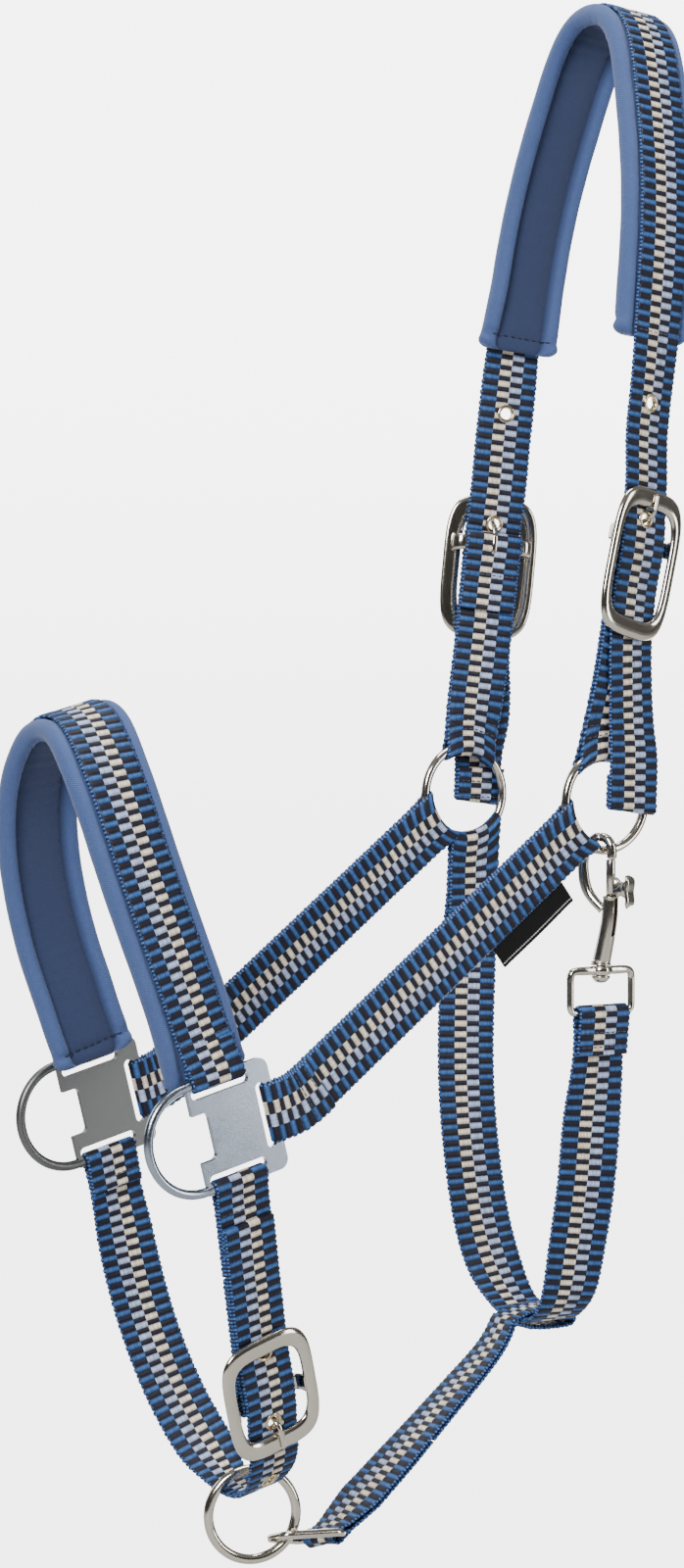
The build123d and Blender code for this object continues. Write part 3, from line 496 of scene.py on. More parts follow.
throat_path = smoothed(np.concatenate([far_bits, throat_line, near_bits]), 0.8)
low = -(throat_path - THROAT)[:, 2]
aside = (throat_path - THROAT) @ TX
turned_from = np.where(aside > 0, 42, 106)
turn = radians(21) * ease((np.abs(aside) - 17) / 20) * ease((low - turned_from) / 42)
throat_w = TZ * np.cos(turn)[:, None] - TX * np.sin(turn)[:, None]
throat = Strap("web_throat", throat_path, throat_w, start=6,
               warp=to_ring(RING + Y * SIDE, -UP, np.array([1.0, 0, 0]), reach=22.0))

# jaw strap: doubled, turning from flat at the throat strap to the link
LINK_BASE = np.array([-155.0, 0, -656.0])
LEAD_YAW, LEAD_DROP, LEAD_R = radians(-16), radians(34), 19.3      # where the link meets the lead ring
link_meets = RING_C + LEAD_R * np.array([cos(LEAD_YAW) * cos(LEAD_DROP), sin(LEAD_YAW) * cos(LEAD_DROP),
                                         -sin(LEAD_DROP)])
link_dir = unit(link_meets - LINK_BASE)
base_dir = np.array([0, -0.953, 0.303])
base_dir = unit(base_dir - link_dir * (base_dir @ link_dir))
knot = THROAT + np.array([0, 0, -230.0])
jaw_from = knot + np.array([-17.0, 0, -0.8])
jaw_dir = unit(LINK_BASE - jaw_from)
jaw_len = float(np.linalg.norm(LINK_BASE - jaw_from))
o = THICK / 2 + 0.06
top_loop = [(0, -o), (-4, -o - 0.4), (-8.5, -3.0), (-17.0, -3.9), (-26, -3.9), (-31.6, -3.4),
            (-33.3, -0.4), (-31.6, 3.0), (-26, 4.4), (-17.0, 4.6), (-8.5, 3.6), (-3, 1.6), (0, o)]
low_loop = wrap(jaw_len, 2.95, 2.95, 1, 1.0)[::-1]
jaw_flat = ([(62, -o), (30, -o)] + top_loop + [(30, o), (jaw_len - 30, o), (jaw_len - 8, o + 0.6)]
            + low_loop + [(jaw_len - 8, -o - 0.6), (jaw_len - 30, -o), (63.0, -o)])
jaw_flat = smoothed(np.array(jaw_flat), 0.7, 0.4)
ROLLS = ([-40, 0, 0.25, 0.43, 0.6, 0.8, 1.0, 2], [0, 3, 4, 0, -5, -8, -14, -14])
jaw_p, jaw_w, jaw_half = [], [], []
for s, out in jaw_flat:
    f = s / jaw_len
    if f < 0:
        x = np.array([1.0, 0, 0]) * -s + jaw_from
        w = -Y
        n = UP
    else:
        x = jaw_from + jaw_dir * s
        r = radians(np.interp(f, *ROLLS))
        w = np.cross(jaw_dir, -Y) * sin(r) - Y * cos(r)
        blend = np.clip((f - 0.8) / 0.2, 0, 1)
        w = w * (1 - blend) + base_dir * blend * (1 if base_dir @ w > 0 else -1)
        w = unit(w)
        n = np.cross(w, jaw_dir)
        n = n if n[2] > 0 else -n
        sag = 3.0 * sin(math.pi * min(f, 1)) + 8.5 * (1 - math.exp(-f / 0.07)) * math.exp(-f / 0.25)
        x = x - UP * sag
    jaw_p.append(x + n * out)
    jaw_w.append(-w)
    jaw_half.append(9.0 + 3.5 * np.clip((f + 0.02) / 0.25, 0, 1) - 3.0 * np.clip((f - 0.8) / 0.18, 0, 1))
Strap("web_jaw", np.array(jaw_p), np.array(jaw_w), half=np.array(jaw_half), start=1)


def oval(n, a, b, p=2.0):
    out = []
    for k in range(n):
        g = 2 * math.pi * k / n
        c, d = cos(g), sin(g)
        out.append((a * math.copysign(abs(c) ** (2 / p), c), b * math.copysign(abs(d) ** (2 / p), d)))
    return out


# ================= pads =================
def pad_section():
    """Across and out: rolled edges, the strap's bed outside, a sunk panel inside."""
    half = [(0, 3.2), (6, 3.2), (11.0, 3.2), (12.7, 3.4), (13.4, 4.1), (14.8, 4.8), (16.6, 4.5),
            (18.2, 3.0), (19.0, 0.6), (18.8, -1.8), (17.6, -3.8), (15.6, -4.7), (13.6, -4.3),
            (12.0, -2.6), (11.3, -0.6), (10.6, -0.1), (9.8, -0.7), (6.0, -1.7), (0, -1.9)]
    return np.array(half + [(-w, h) for w, h in half[-2:0:-1]], float)


def pad(name, line, across, node, body):
    """A padded tube along a line. Returns its centre points, side and out vectors and distances."""
    ring = pad_section()
    fine = []
    for a, b in zip(ring, np.roll(ring, -1, axis=0)):
        fine += [a, (a + b) / 2]
    ring = np.array(fine)
    for _ in range(2):
        ring = (np.roll(ring, 1, axis=0) + 2 * ring + np.roll(ring, -1, axis=0)) / 4
    d = lengths(line)
    s = np.linspace(0, d[-1], int(d[-1] / 1.6) + 1)
    ends = [0.0, 0.25, 0.7, 1.4, 2.4, 3.8, 5.4]
    s = np.array(ends + [x for x in s if 6 < x < d[-1] - 6] + [d[-1] - e for e in ends[::-1]])
    p = sampled(line, d, s)
    t = units(np.gradient(p, s, axis=0))
    w = units(across - t * (t @ across)[:, None])
    out = np.cross(w, t)
    if ((p - p.mean(axis=0)) * out).sum() < 0:
        out = -out
    bend = np.clip(np.linalg.norm(np.gradient(t, s, axis=0), axis=1) * 40, 0, 1.2)
    verts, lay = [], []
    around = lengths(ring)
    for i in range(len(s)):
        e = min(s[i], d[-1] - s[i])
        k = 1.0 if e > 5 else math.sqrt(max(0.0, 1 - (1 - e / 5) ** 2))
        thin = 0.25 + 0.75 * (1.0 if e > 3.6 else math.sqrt(max(0.0, 1 - (1 - e / 3.6) ** 2)))
        slim = 1 - (1 - k) * 0.24
        puff = 1 + 0.035 * sin(s[i] * 0.09) + 0.02 * sin(s[i] * 0.31 + 1)
        pinch = 1 - 0.42 * math.exp(-((e - 6.5) / 1.5) ** 2)
        flare = 1 + 0.05 * math.exp(-((e - 2.5) / 3.0) ** 2)
        crease = bend[i] * (0.32 * sin(s[i] * 1.25) + 0.2 * sin(s[i] * 0.83 + 2))
        for (a, h), g in zip(ring, around):
            hh = h * thin * (puff if abs(a) > 13 else 1) * (pinch if h < 2.5 else 1)
            if h < 1.5:
                hh += crease * (1 if abs(a) < 12 else 0.4)
            a = a * flare
            verts.append(p[i] + w[i] * a * slim + out[i] * hh)
            # third value marks the sunk inner panel, where the pad material paints shade
            lay.append((s[i], g, max(0.0, min(1.0, (12.6 - abs(a)) / 1.6)) if h < 1.5 else 0.0))
    ob = mesh_object(name, verts, skin(len(s), len(ring)), lay)
    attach(ob, body)
    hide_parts(node)
    return p, w, out, s


def offset_in(line, across, shift):
    """The same line moved towards its inner side, at right angles to itself."""
    t = units(np.gradient(line, axis=0))
    n = np.cross(np.tile(across, (len(t), 1)), t)
    if ((line - line.mean(axis=0)) * n).sum() > 0:
        n = -n
    return line + n * shift


PAD_DROP = 142.0
PAD_IN = THICK / 2 + 0.05 + 4.0      # webbing centre to pad centre
crown_pad_line = offset_in(crown_line, CA, PAD_IN)
crown_pad_line = crown_pad_line[(crown_pad_line @ CU) > -PAD_DROP]
crown_pad = pad("pad_crown", crown_pad_line, CA, "crown_pad", "crown")
nose_pad_line = offset_in(nose_mid, NA, PAD_IN)
nose_pad_line = nose_pad_line[((nose_pad_line - NOSE) @ NU) > 46]
reach_down = [(36, 46.9), (29, 46.2), (21, 45.6)]
low_lean = (-1.3, -0.7, -0.3)
nose_pad_line = spline([nose_at(-q, v, l) for (v, q), l in zip(reach_down[::-1], low_lean[::-1])]
                       + list(nose_pad_line[::40])
                       + [nose_at(q, v, l) for (v, q), l in zip(reach_down, low_lean)])
nose_pad = pad("pad_noseband", nose_pad_line, NA, "noseband_pad", "nose")

for (p, w, out, s), body in ((crown_pad, "crown"), (nose_pad, "nose")):
    for want in (6.5, s[-1] - 6.5):
        i = int(np.argmin(abs(s - want)))
        for _ in range(2):      # the same row is laid twice
            sew([(p[i] + w[i] * a + out[i] * h, -out[i]) for a, h in
                 ((-14.5, -2.9), (-12.3, -1.9), (-9.5, -0.6), (-5, -1.2), (5, -1.2), (9.5, -0.6),
                  (12.3, -1.9), (14.5, -2.9))], 3.2, 2.6, 0.3, body)

# ================= woven tag at the near cheek strap =================
tag_side = -cheek_up
TAG_L, TAG_W = 45.0, 10.5
tag_at = RING - Y * SIDE + cheek_dir * 39 + tag_side * (12.45 + TAG_W / 2)
verts, lay = [], []
tag_edge = oval(44, TAG_W / 2 + 0.9, 0.62, 7.0)
TAG_STEPS = 90
for i in range(TAG_STEPS + 1):
    a = TAG_L * i / TAG_STEPS
    hem = 0.28 * (math.exp(-((a - 1.2) / 0.9) ** 2) + math.exp(-((a - TAG_L + 1.2) / 0.9) ** 2))
    end = 1 - 0.6 * max(0.0, 1 - min(a, TAG_L - a) / 0.5) ** 2
    for b, h in tag_edge:
        swell = 0.25 * math.exp(-((b - TAG_W / 2) / 1.1) ** 2)
        lift = -0.9 * ease((b + 1.5) / 8) * sin(math.pi * a / TAG_L) ** 2
        verts.append(tag_at + cheek_dir * a + tag_side * (b - 0.9)
                     + Y * (h * end * (1 + hem + swell) + lift * 0.6))
        lay.append((a, b, 0))
ob = mesh_object("side_tag", verts, skin(TAG_STEPS + 1, len(tag_edge)), lay)
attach(ob, "nose")
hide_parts("label_tag")

# ================= bodies and what each piece stands for =================
places = {
    "web_crown": ("crown", "crown_strap"), "web_crown_hanger_near": ("crown", "crown_hanger_near"),
    "web_crown_hanger_far": ("crown", "crown_hanger_far"), "web_cheek_near": ("nose", "cheek_strap_near"),
    "web_cheek_far": ("nose", "cheek_strap_far"), "web_noseband": ("nose", "noseband_strap"),
    "web_chin_hanger": ("nose", "chin_hanger_near"), "web_chin": ("nose", "chin_strap"),
    "web_throat": ("nose", "throat_strap"), "web_jaw": ("nose", "jaw_strap"),
}
for name, (body, node) in places.items():
    ob = bpy.data.objects[name]
    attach(ob, body)
    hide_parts(node)


# ================= eyelets =================
def pierce(strap, s, radius=3.0):
    """Opens the web inside an eyelet."""
    p, _, n, _ = strap.at(s, 0.5, -THICK / 2)
    me = strap.ob.data
    c = np.empty(len(me.polygons) * 3, np.float32)
    me.polygons.foreach_get("center", c)
    rel = c.reshape(-1, 3) / MM - p
    high = rel @ n
    flat = np.linalg.norm(rel - high[:, None] * n, axis=1)
    hit = set(np.nonzero((flat < radius) & (abs(high) < 1.6))[0].tolist())
    b = bmesh.new()
    b.from_mesh(me)
    b.faces.ensure_lookup_table()
    bmesh.ops.delete(b, geom=[b.faces[i] for i in hit], context="FACES")
    b.to_mesh(me)
    b.free()


def spun(centre, x, y, axis, prof, steps=40):
    """A profile of (radius, height) points turned about an axis."""
    verts = [centre + axis * h + (x * cos(a) + y * sin(a)) * r
             for a in (2 * math.pi * k / steps for k in range(steps)) for r, h in prof]
    m = len(prof)
    faces = []
    for k in range(steps):
        for j in range(m - 1):
            a, b = k * m + j, ((k + 1) % steps) * m + j
            faces.append([a, b, b + 1, a + 1])
    return verts, faces


def joined(parts):
    verts, faces = [], []
    for v, f in parts:
        faces += [[i + len(verts) for i in face] for face in f]
        verts += list(v)
    return verts, faces


def grommets(name, spots, body, node):
    """Rolled eyelets at points of a strap: a flared lip on each face and the tube between."""
    prof = [(2.45, 0.0), (2.5, 0.75), (2.75, 1.22), (3.2, 1.42), (3.7, 1.36), (4.05, 1.1), (4.12, 0.82),
            (3.9, 0.7)]
    prof = [(r, -h) for r, h in prof[:0:-1]] + prof
    parts = []
    for strap, s in spots:
        pierce(strap, s)
        p, t, n, _ = strap.at(s, 0.5, -THICK / 2)
        t = unit(t - n * (t @ n))
        parts.append(spun(p, t, np.cross(n, t), n, prof))
    ob = mesh_object(name, *joined(parts))
    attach(ob, body)
    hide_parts(node)


def crown_s(side, t):
    return crown.find(lambda p: abs(-(p @ CU) - t) + (1000 if p[1] * side < 0 else 0)
                      + (50 if abs(p[1]) < 45 else 0))


EYE_L, CROWN_PITCH, CHIN_PITCH = 9.5, 50.5, 32
EYES = (BAR_DROP - EYE_L - CROWN_PITCH, BAR_DROP - EYE_L)
for side, label in ((-1, "near"), (1, "far")):
    grommets("eyelets_crown_" + label, [(crown, crown_s(side, t)) for t in EYES], "crown",
             "crown_eyelets_" + label)


def chin_s(l):
    goal = nose_at(*(chin_bar + chin_down * l))
    return chin.find(lambda p: np.linalg.norm(p - goal))


fast = chin_s(EYE_L)
step = CHIN_PITCH if chin_s(0) < fast else -CHIN_PITCH
grommets("eyelets_chin", [(chin, fast - step), (chin, fast), (chin, fast + step)], "nose",
         "chin_eyelets")

# ================= buckles =================
def tube(path, section, side):
    """Sweeps a closed section along a line. side is roughly the direction of the section's x."""
    path = np.asarray(path, float)
    t = units(np.gradient(path, axis=0))
    verts = []
    for i, c in enumerate(path):
        a = unit(side - t[i] * (side @ t[i]))
        b = np.cross(t[i], a)
        sec = section(i / (len(path) - 1))
        verts += [c + a * x + b * y for x, y in sec]
    return verts, skin(len(path), len(section(0)))


def buckle(name, bar, tip_dir, across, out, tip, rear, node, tongue_name, tongue_node, body,
           tongue_body, turn=0.0, widths=(20.0, 15.3)):
    r = radians(turn)
    tip_dir, across = tip_dir * cos(r) + across * sin(r), across * cos(r) - tip_dir * sin(r)
    mid = bar + tip_dir * (tip - rear) / 2
    b = (tip + rear) / 2
    steps, round_ = 128, 16
    outer = oval(steps, widths[0], b, 3.9)
    inner = oval(steps, widths[1], b - 8.2, 4.4)
    verts = []
    for (x0, y0), (x1, y1) in zip(outer, inner):
        wide = math.hypot(x0 - x1, y0 - y1)
        for k in range(round_):
            g = 2 * math.pi * k / round_
            f = 0.5 + 0.5 * math.copysign(abs(cos(g)) ** 0.85, cos(g))
            x, y = x1 + (x0 - x1) * f, y1 + (y0 - y1) * f
            deep = 1.45 + 0.05 * wide if sin(g) > 0 else 1.05
            h = 5.7 + deep * math.copysign(abs(sin(g)) ** 0.8, sin(g))
            verts.append(mid + across * x + tip_dir * y + out * h)
    frame_part = (verts, skin(steps, round_, closed=True))
    line = [(-17.6, 6.2), (-17.3, 3.0), (-16.2, 0.8), (-14.4, 0), (0, 0), (14.4, 0), (16.2, 0.8),
            (17.3, 3.0), (17.6, 6.2)]
    line = smoothed(np.array([bar + across * x + out * h for x, h in line]), 0.8)
    bar_part = tube(line, lambda f: oval(20, 3.5 + 0.9 * abs(2 * f - 1) ** 6, 1.3, 3.0), tip_dir)
    ob = mesh_object(name, *joined([frame_part, bar_part]))
    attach(ob, body)
    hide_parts(node)
    prong = [(-1.5, 2.5), (-4.3, 2.0), (-5.3, 0.0), (-4.3, -2.2), (0, -2.75), (4.2, -2.3), (6.4, -0.5),
             (8.3, 1.2), (9.5, 3.8), (10.8, 6.6), (13.2, 8.0), (tip - 5, 8.3), (tip - 1.0, 8.0)]
    line = smoothed(np.array([bar + tip_dir * l + out * h for l, h in prong]), 0.9)

    def section(f):
        k = 1 - 0.28 * f - 0.5 * max(0, (f - 0.97) / 0.03) ** 2
        return oval(14, 1.45 * k, 0.95 * k, 2.4)
    ob = mesh_object(tongue_name, *tube(line, section, across))
    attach(ob, tongue_body)
    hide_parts(tongue_node)


for side, label, turn, widths in ((-1, "near", 6.5, (20.0, 15.3)), (1, "far", -1.0, (21.6, 13.7))):
    buckle("buckle_crown_" + label, crown_at(side * SIDE, BAR_DROP), CU, CA, Y * side, 22.5, 42.5,
           "crown_buckle_" + label, "tongue_crown_" + label, "crown_tongue_" + label, "crown",
           label + "_tongue", turn, widths)
chin_across = np.cross(down3, out3)
buckle("buckle_chin", nose_at(*chin_bar), down3, chin_across, out3, 23.6, 30.0, "chin_buckle",
       "tongue_chin", "chin_tongue", "nose", "chin_tongue_body", -4.0, (22.4, 16.6))

# ================= how the crown's sides hang =================
def hang(side, degrees, shift):
    """Turns a crown side about its own length between pad and ring, and moves it across."""
    def field(v):
        t = -(v @ CU)
        w = ease((t - 108) / 62) * (1 - ease((t - 290) / 40)) * (v[:, 1] * side > 25)
        r = w * radians(degrees)
        d, e = v @ CA, v[:, 1] - side * SIDE
        move = shift * ease((t - 178) / 28) * (1 - ease((t - 276) / 48)) * (w > 0)
        across = d * np.cos(r) + e * np.sin(r) + move
        away = e * np.cos(r) - d * np.sin(r)
        return v + np.outer(across - d, CA) + np.outer(away - e, Y)
    return field


HANGS = {"near": hang(-1, -8.0, 1.2), "far": hang(1, 22.0, 1.0)}
for label, field in HANGS.items():
    for name in ("web_crown", "web_crown_hanger_" + label, "pad_crown", "eyelets_crown_" + label,
                 "buckle_crown_" + label, "tongue_crown_" + label):
        me = bpy.data.objects[name].data
        v = np.empty(len(me.vertices) * 3)
        me.vertices.foreach_get("co", v)
        v = field(v.reshape(-1, 3) / MM) * MM
        me.vertices.foreach_set("co", v.ravel())
        me.update()

# ================= snap =================
SNAP = RING + np.array([-2.1, -SIDE, 0])
HOOK_YAW = radians(-65)
HD = np.array([cos(HOOK_YAW), sin(HOOK_YAW), 0])
HN = np.cross(HD, UP)
BOLT_H = 4.7


def snap_at(h, z, side=0.0):
    return SNAP + HD * h + UP * z + HN * side


def lathe(axis_h, prof):
    return spun(snap_at(axis_h, 0), HD, HN, UP, prof)


def barrel_section(f):
    """Tube section, open along one side where the lever's slot runs."""
    gap = radians(27 if f > 0.42 else 0.4)
    r = 3.95 - 0.72 * f + 0.3 * math.exp(-((f - 1) / 0.03) ** 2)
    inner = 2.8
    pts = []
    for k in range(25):
        a = gap + (2 * math.pi - 2 * gap) * k / 24
        pts.append((r * cos(a), r * sin(a)))
    for k in range(25):
        a = 2 * math.pi - gap - (2 * math.pi - 2 * gap) * k / 24
        pts.append((inner * cos(a), inner * sin(a)))
    return pts


barrel_line = smoothed(spline([snap_at(0.35, -68.6), snap_at(2.5, -59), snap_at(4.05, -50.5),
                               snap_at(4.55, -45), snap_at(4.7, -40.5)], 0.4), 0.5)
barrel = tube(barrel_line, barrel_section, HD)
hook_line = spline([snap_at(0.8, -46.5), snap_at(-2.6, -43.6), snap_at(-6.6, -38.6),
                    snap_at(-8.6, -31), snap_at(-7.7, -21.6, -0.3), snap_at(-2.0, -15.3, -0.4),
                    snap_at(3.5, -16.7, -0.1),
                    snap_at(BOLT_H + 0.5, -21.2), snap_at(BOLT_H + 0.4, -24.5)], 0.5)


def hook_section(f):
    fat = 0.4 * math.exp(-((f - 0.3) / 0.17) ** 2)
    nose = 0.1 * math.exp(-((f - 0.95) / 0.07) ** 2)
    thin = 0.7 * math.exp(-((f - 0.67) / 0.1) ** 2)  # room for the cheek strap when the snap turns
    end = 1 - 0.3 * max(0.0, (f - 0.99) / 0.01) ** 2
    return oval(20, (2.1 + fat + nose) * end, (2.0 + 0.3 * fat + nose - thin) * end, 2.0)


hook_part = tube(hook_line, hook_section, HD)
collar = lathe(0, [(0.5, -68.3), (3.3, -68.3), (4.1, -68.6), (4.45, -69.0), (4.1, -69.35), (3.75, -69.5),
                   (4.2, -69.7), (4.6, -70.05), (4.3, -70.38), (2.0, -70.42), (2.0, -74.9),
                   (3.9, -74.95), (4.05, -75.4), (3.7, -76.6), (2.7, -77.7), (1.4, -78.2),
                   (0.01, -78.3)])
ob = mesh_object("snap_hook_body", *joined([barrel, hook_part, collar]))
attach(ob, "snap")
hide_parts("snap_hook")

stem = lathe(BOLT_H, [(0.01, -48.0), (0.95, -48.0), (0.95, -42.6), (2.0, -41.4), (2.0, -25.2),
                      (1.8, -24.7), (0.01, -24.6)])


def slab(outline, thick, bevel=0.35):
    """Flat lever plate in the hook's plane, edges rounded."""
    pts = [np.array(p, float) for p in outline]
    mid = sum(pts) / len(pts)
    layers = [(-thick / 2, bevel), (-thick / 2 + bevel, 0), (thick / 2 - bevel, 0), (thick / 2, bevel)]
    verts = []
    for side, inset in layers:
        for q in pts:
            q = q + unit(mid - q) * inset
            verts.append(snap_at(q[0], q[1], side))
    return verts, skin(len(layers), len(pts))


eye_line = [(0, -72.7), (13.0, -72.7), (15.0, -73.4), (15.6, -75.4), (15.6, -88.4),
            (15.0, -90.4), (13.0, -91),
            (0, -91.0), (-13.0, -91), (-15.0, -90.4), (-15.6, -88.4), (-15.6, -75.4), (-15.0, -73.4),
            (-13.0, -72.7), (0, -72.7)]
eye_line = smoothed(np.array([SNAP + TZ * h + UP * z for h, z in eye_line]), 0.8)


def eye_section(f):
    top = ease((0.2 - min(f, 1 - f)) / 0.12)
    return oval(20, 1.55 + 0.95 * top, 1.55 + 0.45 * top, 2.0 + 0.8 * top)


eye_part = tube(eye_line, eye_section, TX)
hub = lathe(0, [(2.06, -70.85), (4.4, -70.85), (4.9, -71.3), (5.0, -72.7), (4.9, -74.1), (4.4, -74.55),
                (2.06, -74.55), (2.06, -70.85)])
ob = mesh_object("snap_eye_frame", *joined([eye_part, hub]))
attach(ob, "nose")
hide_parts("snap_swivel_eye")

COIL_LOW, COIL_TOP, COIL_R, COIL_WIRE = -61.4, -48.5, 1.2, 0.28
COIL_TURNS, COIL_STEPS = 7.5, 240
verts = []
for i in range(COIL_STEPS + 1):
    f = i / COIL_STEPS
    z = COIL_LOW + (COIL_TOP - COIL_LOW) * f
    mid = float(np.interp(z, barrel_line[:, 2] - SNAP[2], (barrel_line - SNAP) @ HD)) + 0.35
    a = 2 * math.pi * COIL_TURNS * f
    spoke = HD * cos(a) + HN * sin(a)
    for k in range(8):
        g = math.pi * k / 4
        verts.append(snap_at(mid, z) + spoke * (COIL_R + COIL_WIRE * cos(g)) + UP * COIL_WIRE * sin(g))
coil = mesh_object("snap_coil", verts, skin(COIL_STEPS + 1, 8))
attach(coil, "snap")
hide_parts("snap_spring")
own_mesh(coil)

b = BOLT_H
lever = slab([(b, -31.5), (b + 3.0, -32.5), (b + 4.6, -34.0), (b + 6.6, -34.2), (b + 8.6, -33.0),
              (b + 9.3, -35), (b + 9.2, -40), (b + 8.2, -41.8), (b + 5.4, -40.2), (b + 2.6, -41.6),
              (b, -42.0)], 2.4)
pad_line = spline([snap_at(b + 8.0, -31.4), snap_at(b + 9.4, -33.5), snap_at(b + 9.0, -38.5),
                   snap_at(b + 9.3, -43.0), snap_at(b + 8.3, -45.6)], 0.4)
thumb = tube(pad_line, lambda f: oval(18, 1.0 * min(1, 0.35 + 6 * min(f, 1 - f)),
                                      3.5 * min(1, 0.5 + 4 * min(f, 1 - f)), 3.0), HD)
ob = mesh_object("snap_bolt_lever", *joined([stem, lever, thumb]))
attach(ob, "bolt")
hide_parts("snap_bolt")

# ================= sewing =================
for label, strap in cheeks.items():
    for s in (3.0, 9.0, 15.0):
        cross_run(strap, s, side=1 if strap.at(s)[2] @ Y * (1 if label == "far" else -1) > 0 else -1,
                  body="nose")


def flat_s(strap, along, out):
    """Distance along a doubled strap of the point nearest to (along, out) in its own layout."""
    d = lengths(strap.flat)
    i = int(np.argmin(np.linalg.norm(strap.flat - np.array([along, out]), axis=1)))
    return d[i] / d[-1] * strap.length


for label, strap in hangers.items():
    y = Y if label == "far" else -Y
    for along in (14.0, 84.0, 80.0):
        for out in (-1, 1):
            s = flat_s(strap, along, out)
            cross_run(strap, s, side=1 if strap.at(s)[2] @ y * out > 0 else -1, body="crown")
for along in (12.0, 88.0):
    s = flat_s(chin_hanger, along, 1)
    cross_run(chin_hanger, s, side=1 if chin_hanger.at(s)[2] @ out3 > 0 else -1, body="nose")
for s in (throat.length - 3.5, throat.length - 10.0):
    cross_run(throat, s, side=1 if throat.at(s)[2] @ Y < 0 else -1, body="nose")
for s in (62.0, 55.0):
    for side in (-1, 1):
        cross_run(throat, s, side=side, body="nose")
for s in (5.0, chin.length - 6.0):
    for side in (-1, 1):
        cross_run(chin, s, side=side, body="nose")
cs0, cs1 = crown_s(-1, PAD_DROP - 3), crown_s(1, PAD_DROP - 3)
outer = 1 if crown.at((cs0 + cs1) / 2)[2] @ CU > 0 else -1
for v in (0.045, 0.955):
    along_run(crown, cs0, cs1, v, side=outer, body="crown")
for s in (cs0, cs1):
    cross_run(crown, s, side=outer, body="crown")
for s in (6.0, 13.0, crown.length - 6.0, crown.length - 13.0):
    cross_run(crown, s, side=outer, body="crown")
    cross_run(crown, s, side=-outer, body="crown")


def nose_s(side, v):
    return nose.find(lambda p: abs((p - NOSE) @ NU - v) + (1000 if p[1] * side < 0 else 0)
                     + (50 if abs(p[1]) < SIDE - 1.2 and v < 45 else 0))


ns0, ns1 = nose_s(-1, 40), nose_s(1, 40)
outer_n = 1 if nose.at((ns0 + ns1) / 2)[2] @ NU > 0 else -1
for v in (0.045, 0.955):
    along_run(nose, ns0, ns1, v, side=outer_n, body="nose")
for s in (ns0, ns1):
    cross_run(nose, s, side=outer_n, body="nose")

for body, (verts, faces) in seams.items():
    if body == "crown":
        for field in HANGS.values():
            verts = field(np.array(verts))
    ob = mesh_object("sewing_" + body, verts, faces)
    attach(ob, body)


# ================= materials =================
def rgb(*levels):
    """Linear colour from 0-255 display levels."""
    linear = [c / 255 / 12.92 if c <= 10 else ((c / 255 + 0.055) / 1.055) ** 2.4 for c in levels]
    return (*linear, 1.0)


class Nodes:
    def __init__(self, name):
        self.mat = bpy.data.materials.new(name)
        self.mat.use_nodes = True
        self.nt = self.mat.node_tree
        self.bsdf = self.nt.nodes["Principled BSDF"]

    def new(self, kind, **k):
        n = self.nt.nodes.new(kind)
        for a, b in k.items():
            setattr(n, a, b)
        return n

    def link(self, a, b):
        self.nt.links.new(a, b)

    def math(self, op, a, b=None):
        n = self.new("ShaderNodeMath", operation=op)
        for i, x in enumerate((a, b)):
            if x is None:
                continue
            if isinstance(x, (int, float)):
                n.inputs[i].default_value = x
            else:
                self.link(x, n.inputs[i])
        return n.outputs[0]

    def mix(self, fac, a, b, blend="MIX"):
        n = self.new("ShaderNodeMix", data_type="RGBA", blend_type=blend)
        for sock, x in ((n.inputs[0], fac), (n.inputs[6], a), (n.inputs[7], b)):
            if isinstance(x, (int, float, tuple)):
                sock.default_value = x
            else:
                self.link(x, sock)
        return n.outputs[2]

    def noise(self, vec, scale, detail=2.0):
        n = self.new("ShaderNodeTexNoise")
        n.inputs["Scale"].default_value = scale
        n.inputs["Detail"].default_value = detail
        self.link(vec, n.inputs["Vector"])
        return n.outputs["Fac"]

    def split(self, vec):
        n = self.new("ShaderNodeSeparateXYZ")
        self.link(vec, n.inputs[0])
        return n.outputs

    def lay(self):
        """The piece's own coordinates, stored on its points."""
        return self.split(self.new("ShaderNodeAttribute", attribute_name="lay").outputs["Vector"])

    def grey(self, level):
        n = self.new("ShaderNodeCombineColor")
        for i in range(3):
            self.link(level, n.inputs[i])
        return n.outputs[0]

    def rise(self, x, *limits):
        """Smooth step; limits are from, to, and the values there."""
        n = self.new("ShaderNodeMapRange", interpolation_type="SMOOTHSTEP")
        for i, v in enumerate(limits):
            n.inputs[i + 1].default_value = v
        self.link(x, n.inputs[0])
        return n.outputs[0]

    def set(self, **k):
        for a, b in k.items():
            self.bsdf.inputs[a.replace("_", " ")].default_value = b

    def bump(self, height, strength, distance):
        n = self.new("ShaderNodeBump")
        n.inputs["Strength"].default_value = strength
        n.inputs["Distance"].default_value = distance
        self.link(height, n.inputs["Height"])
        self.link(n.outputs["Normal"], self.bsdf.inputs["Normal"])


def object_coords(m):
    return m.new("ShaderNodeTexCoord").outputs["Object"]


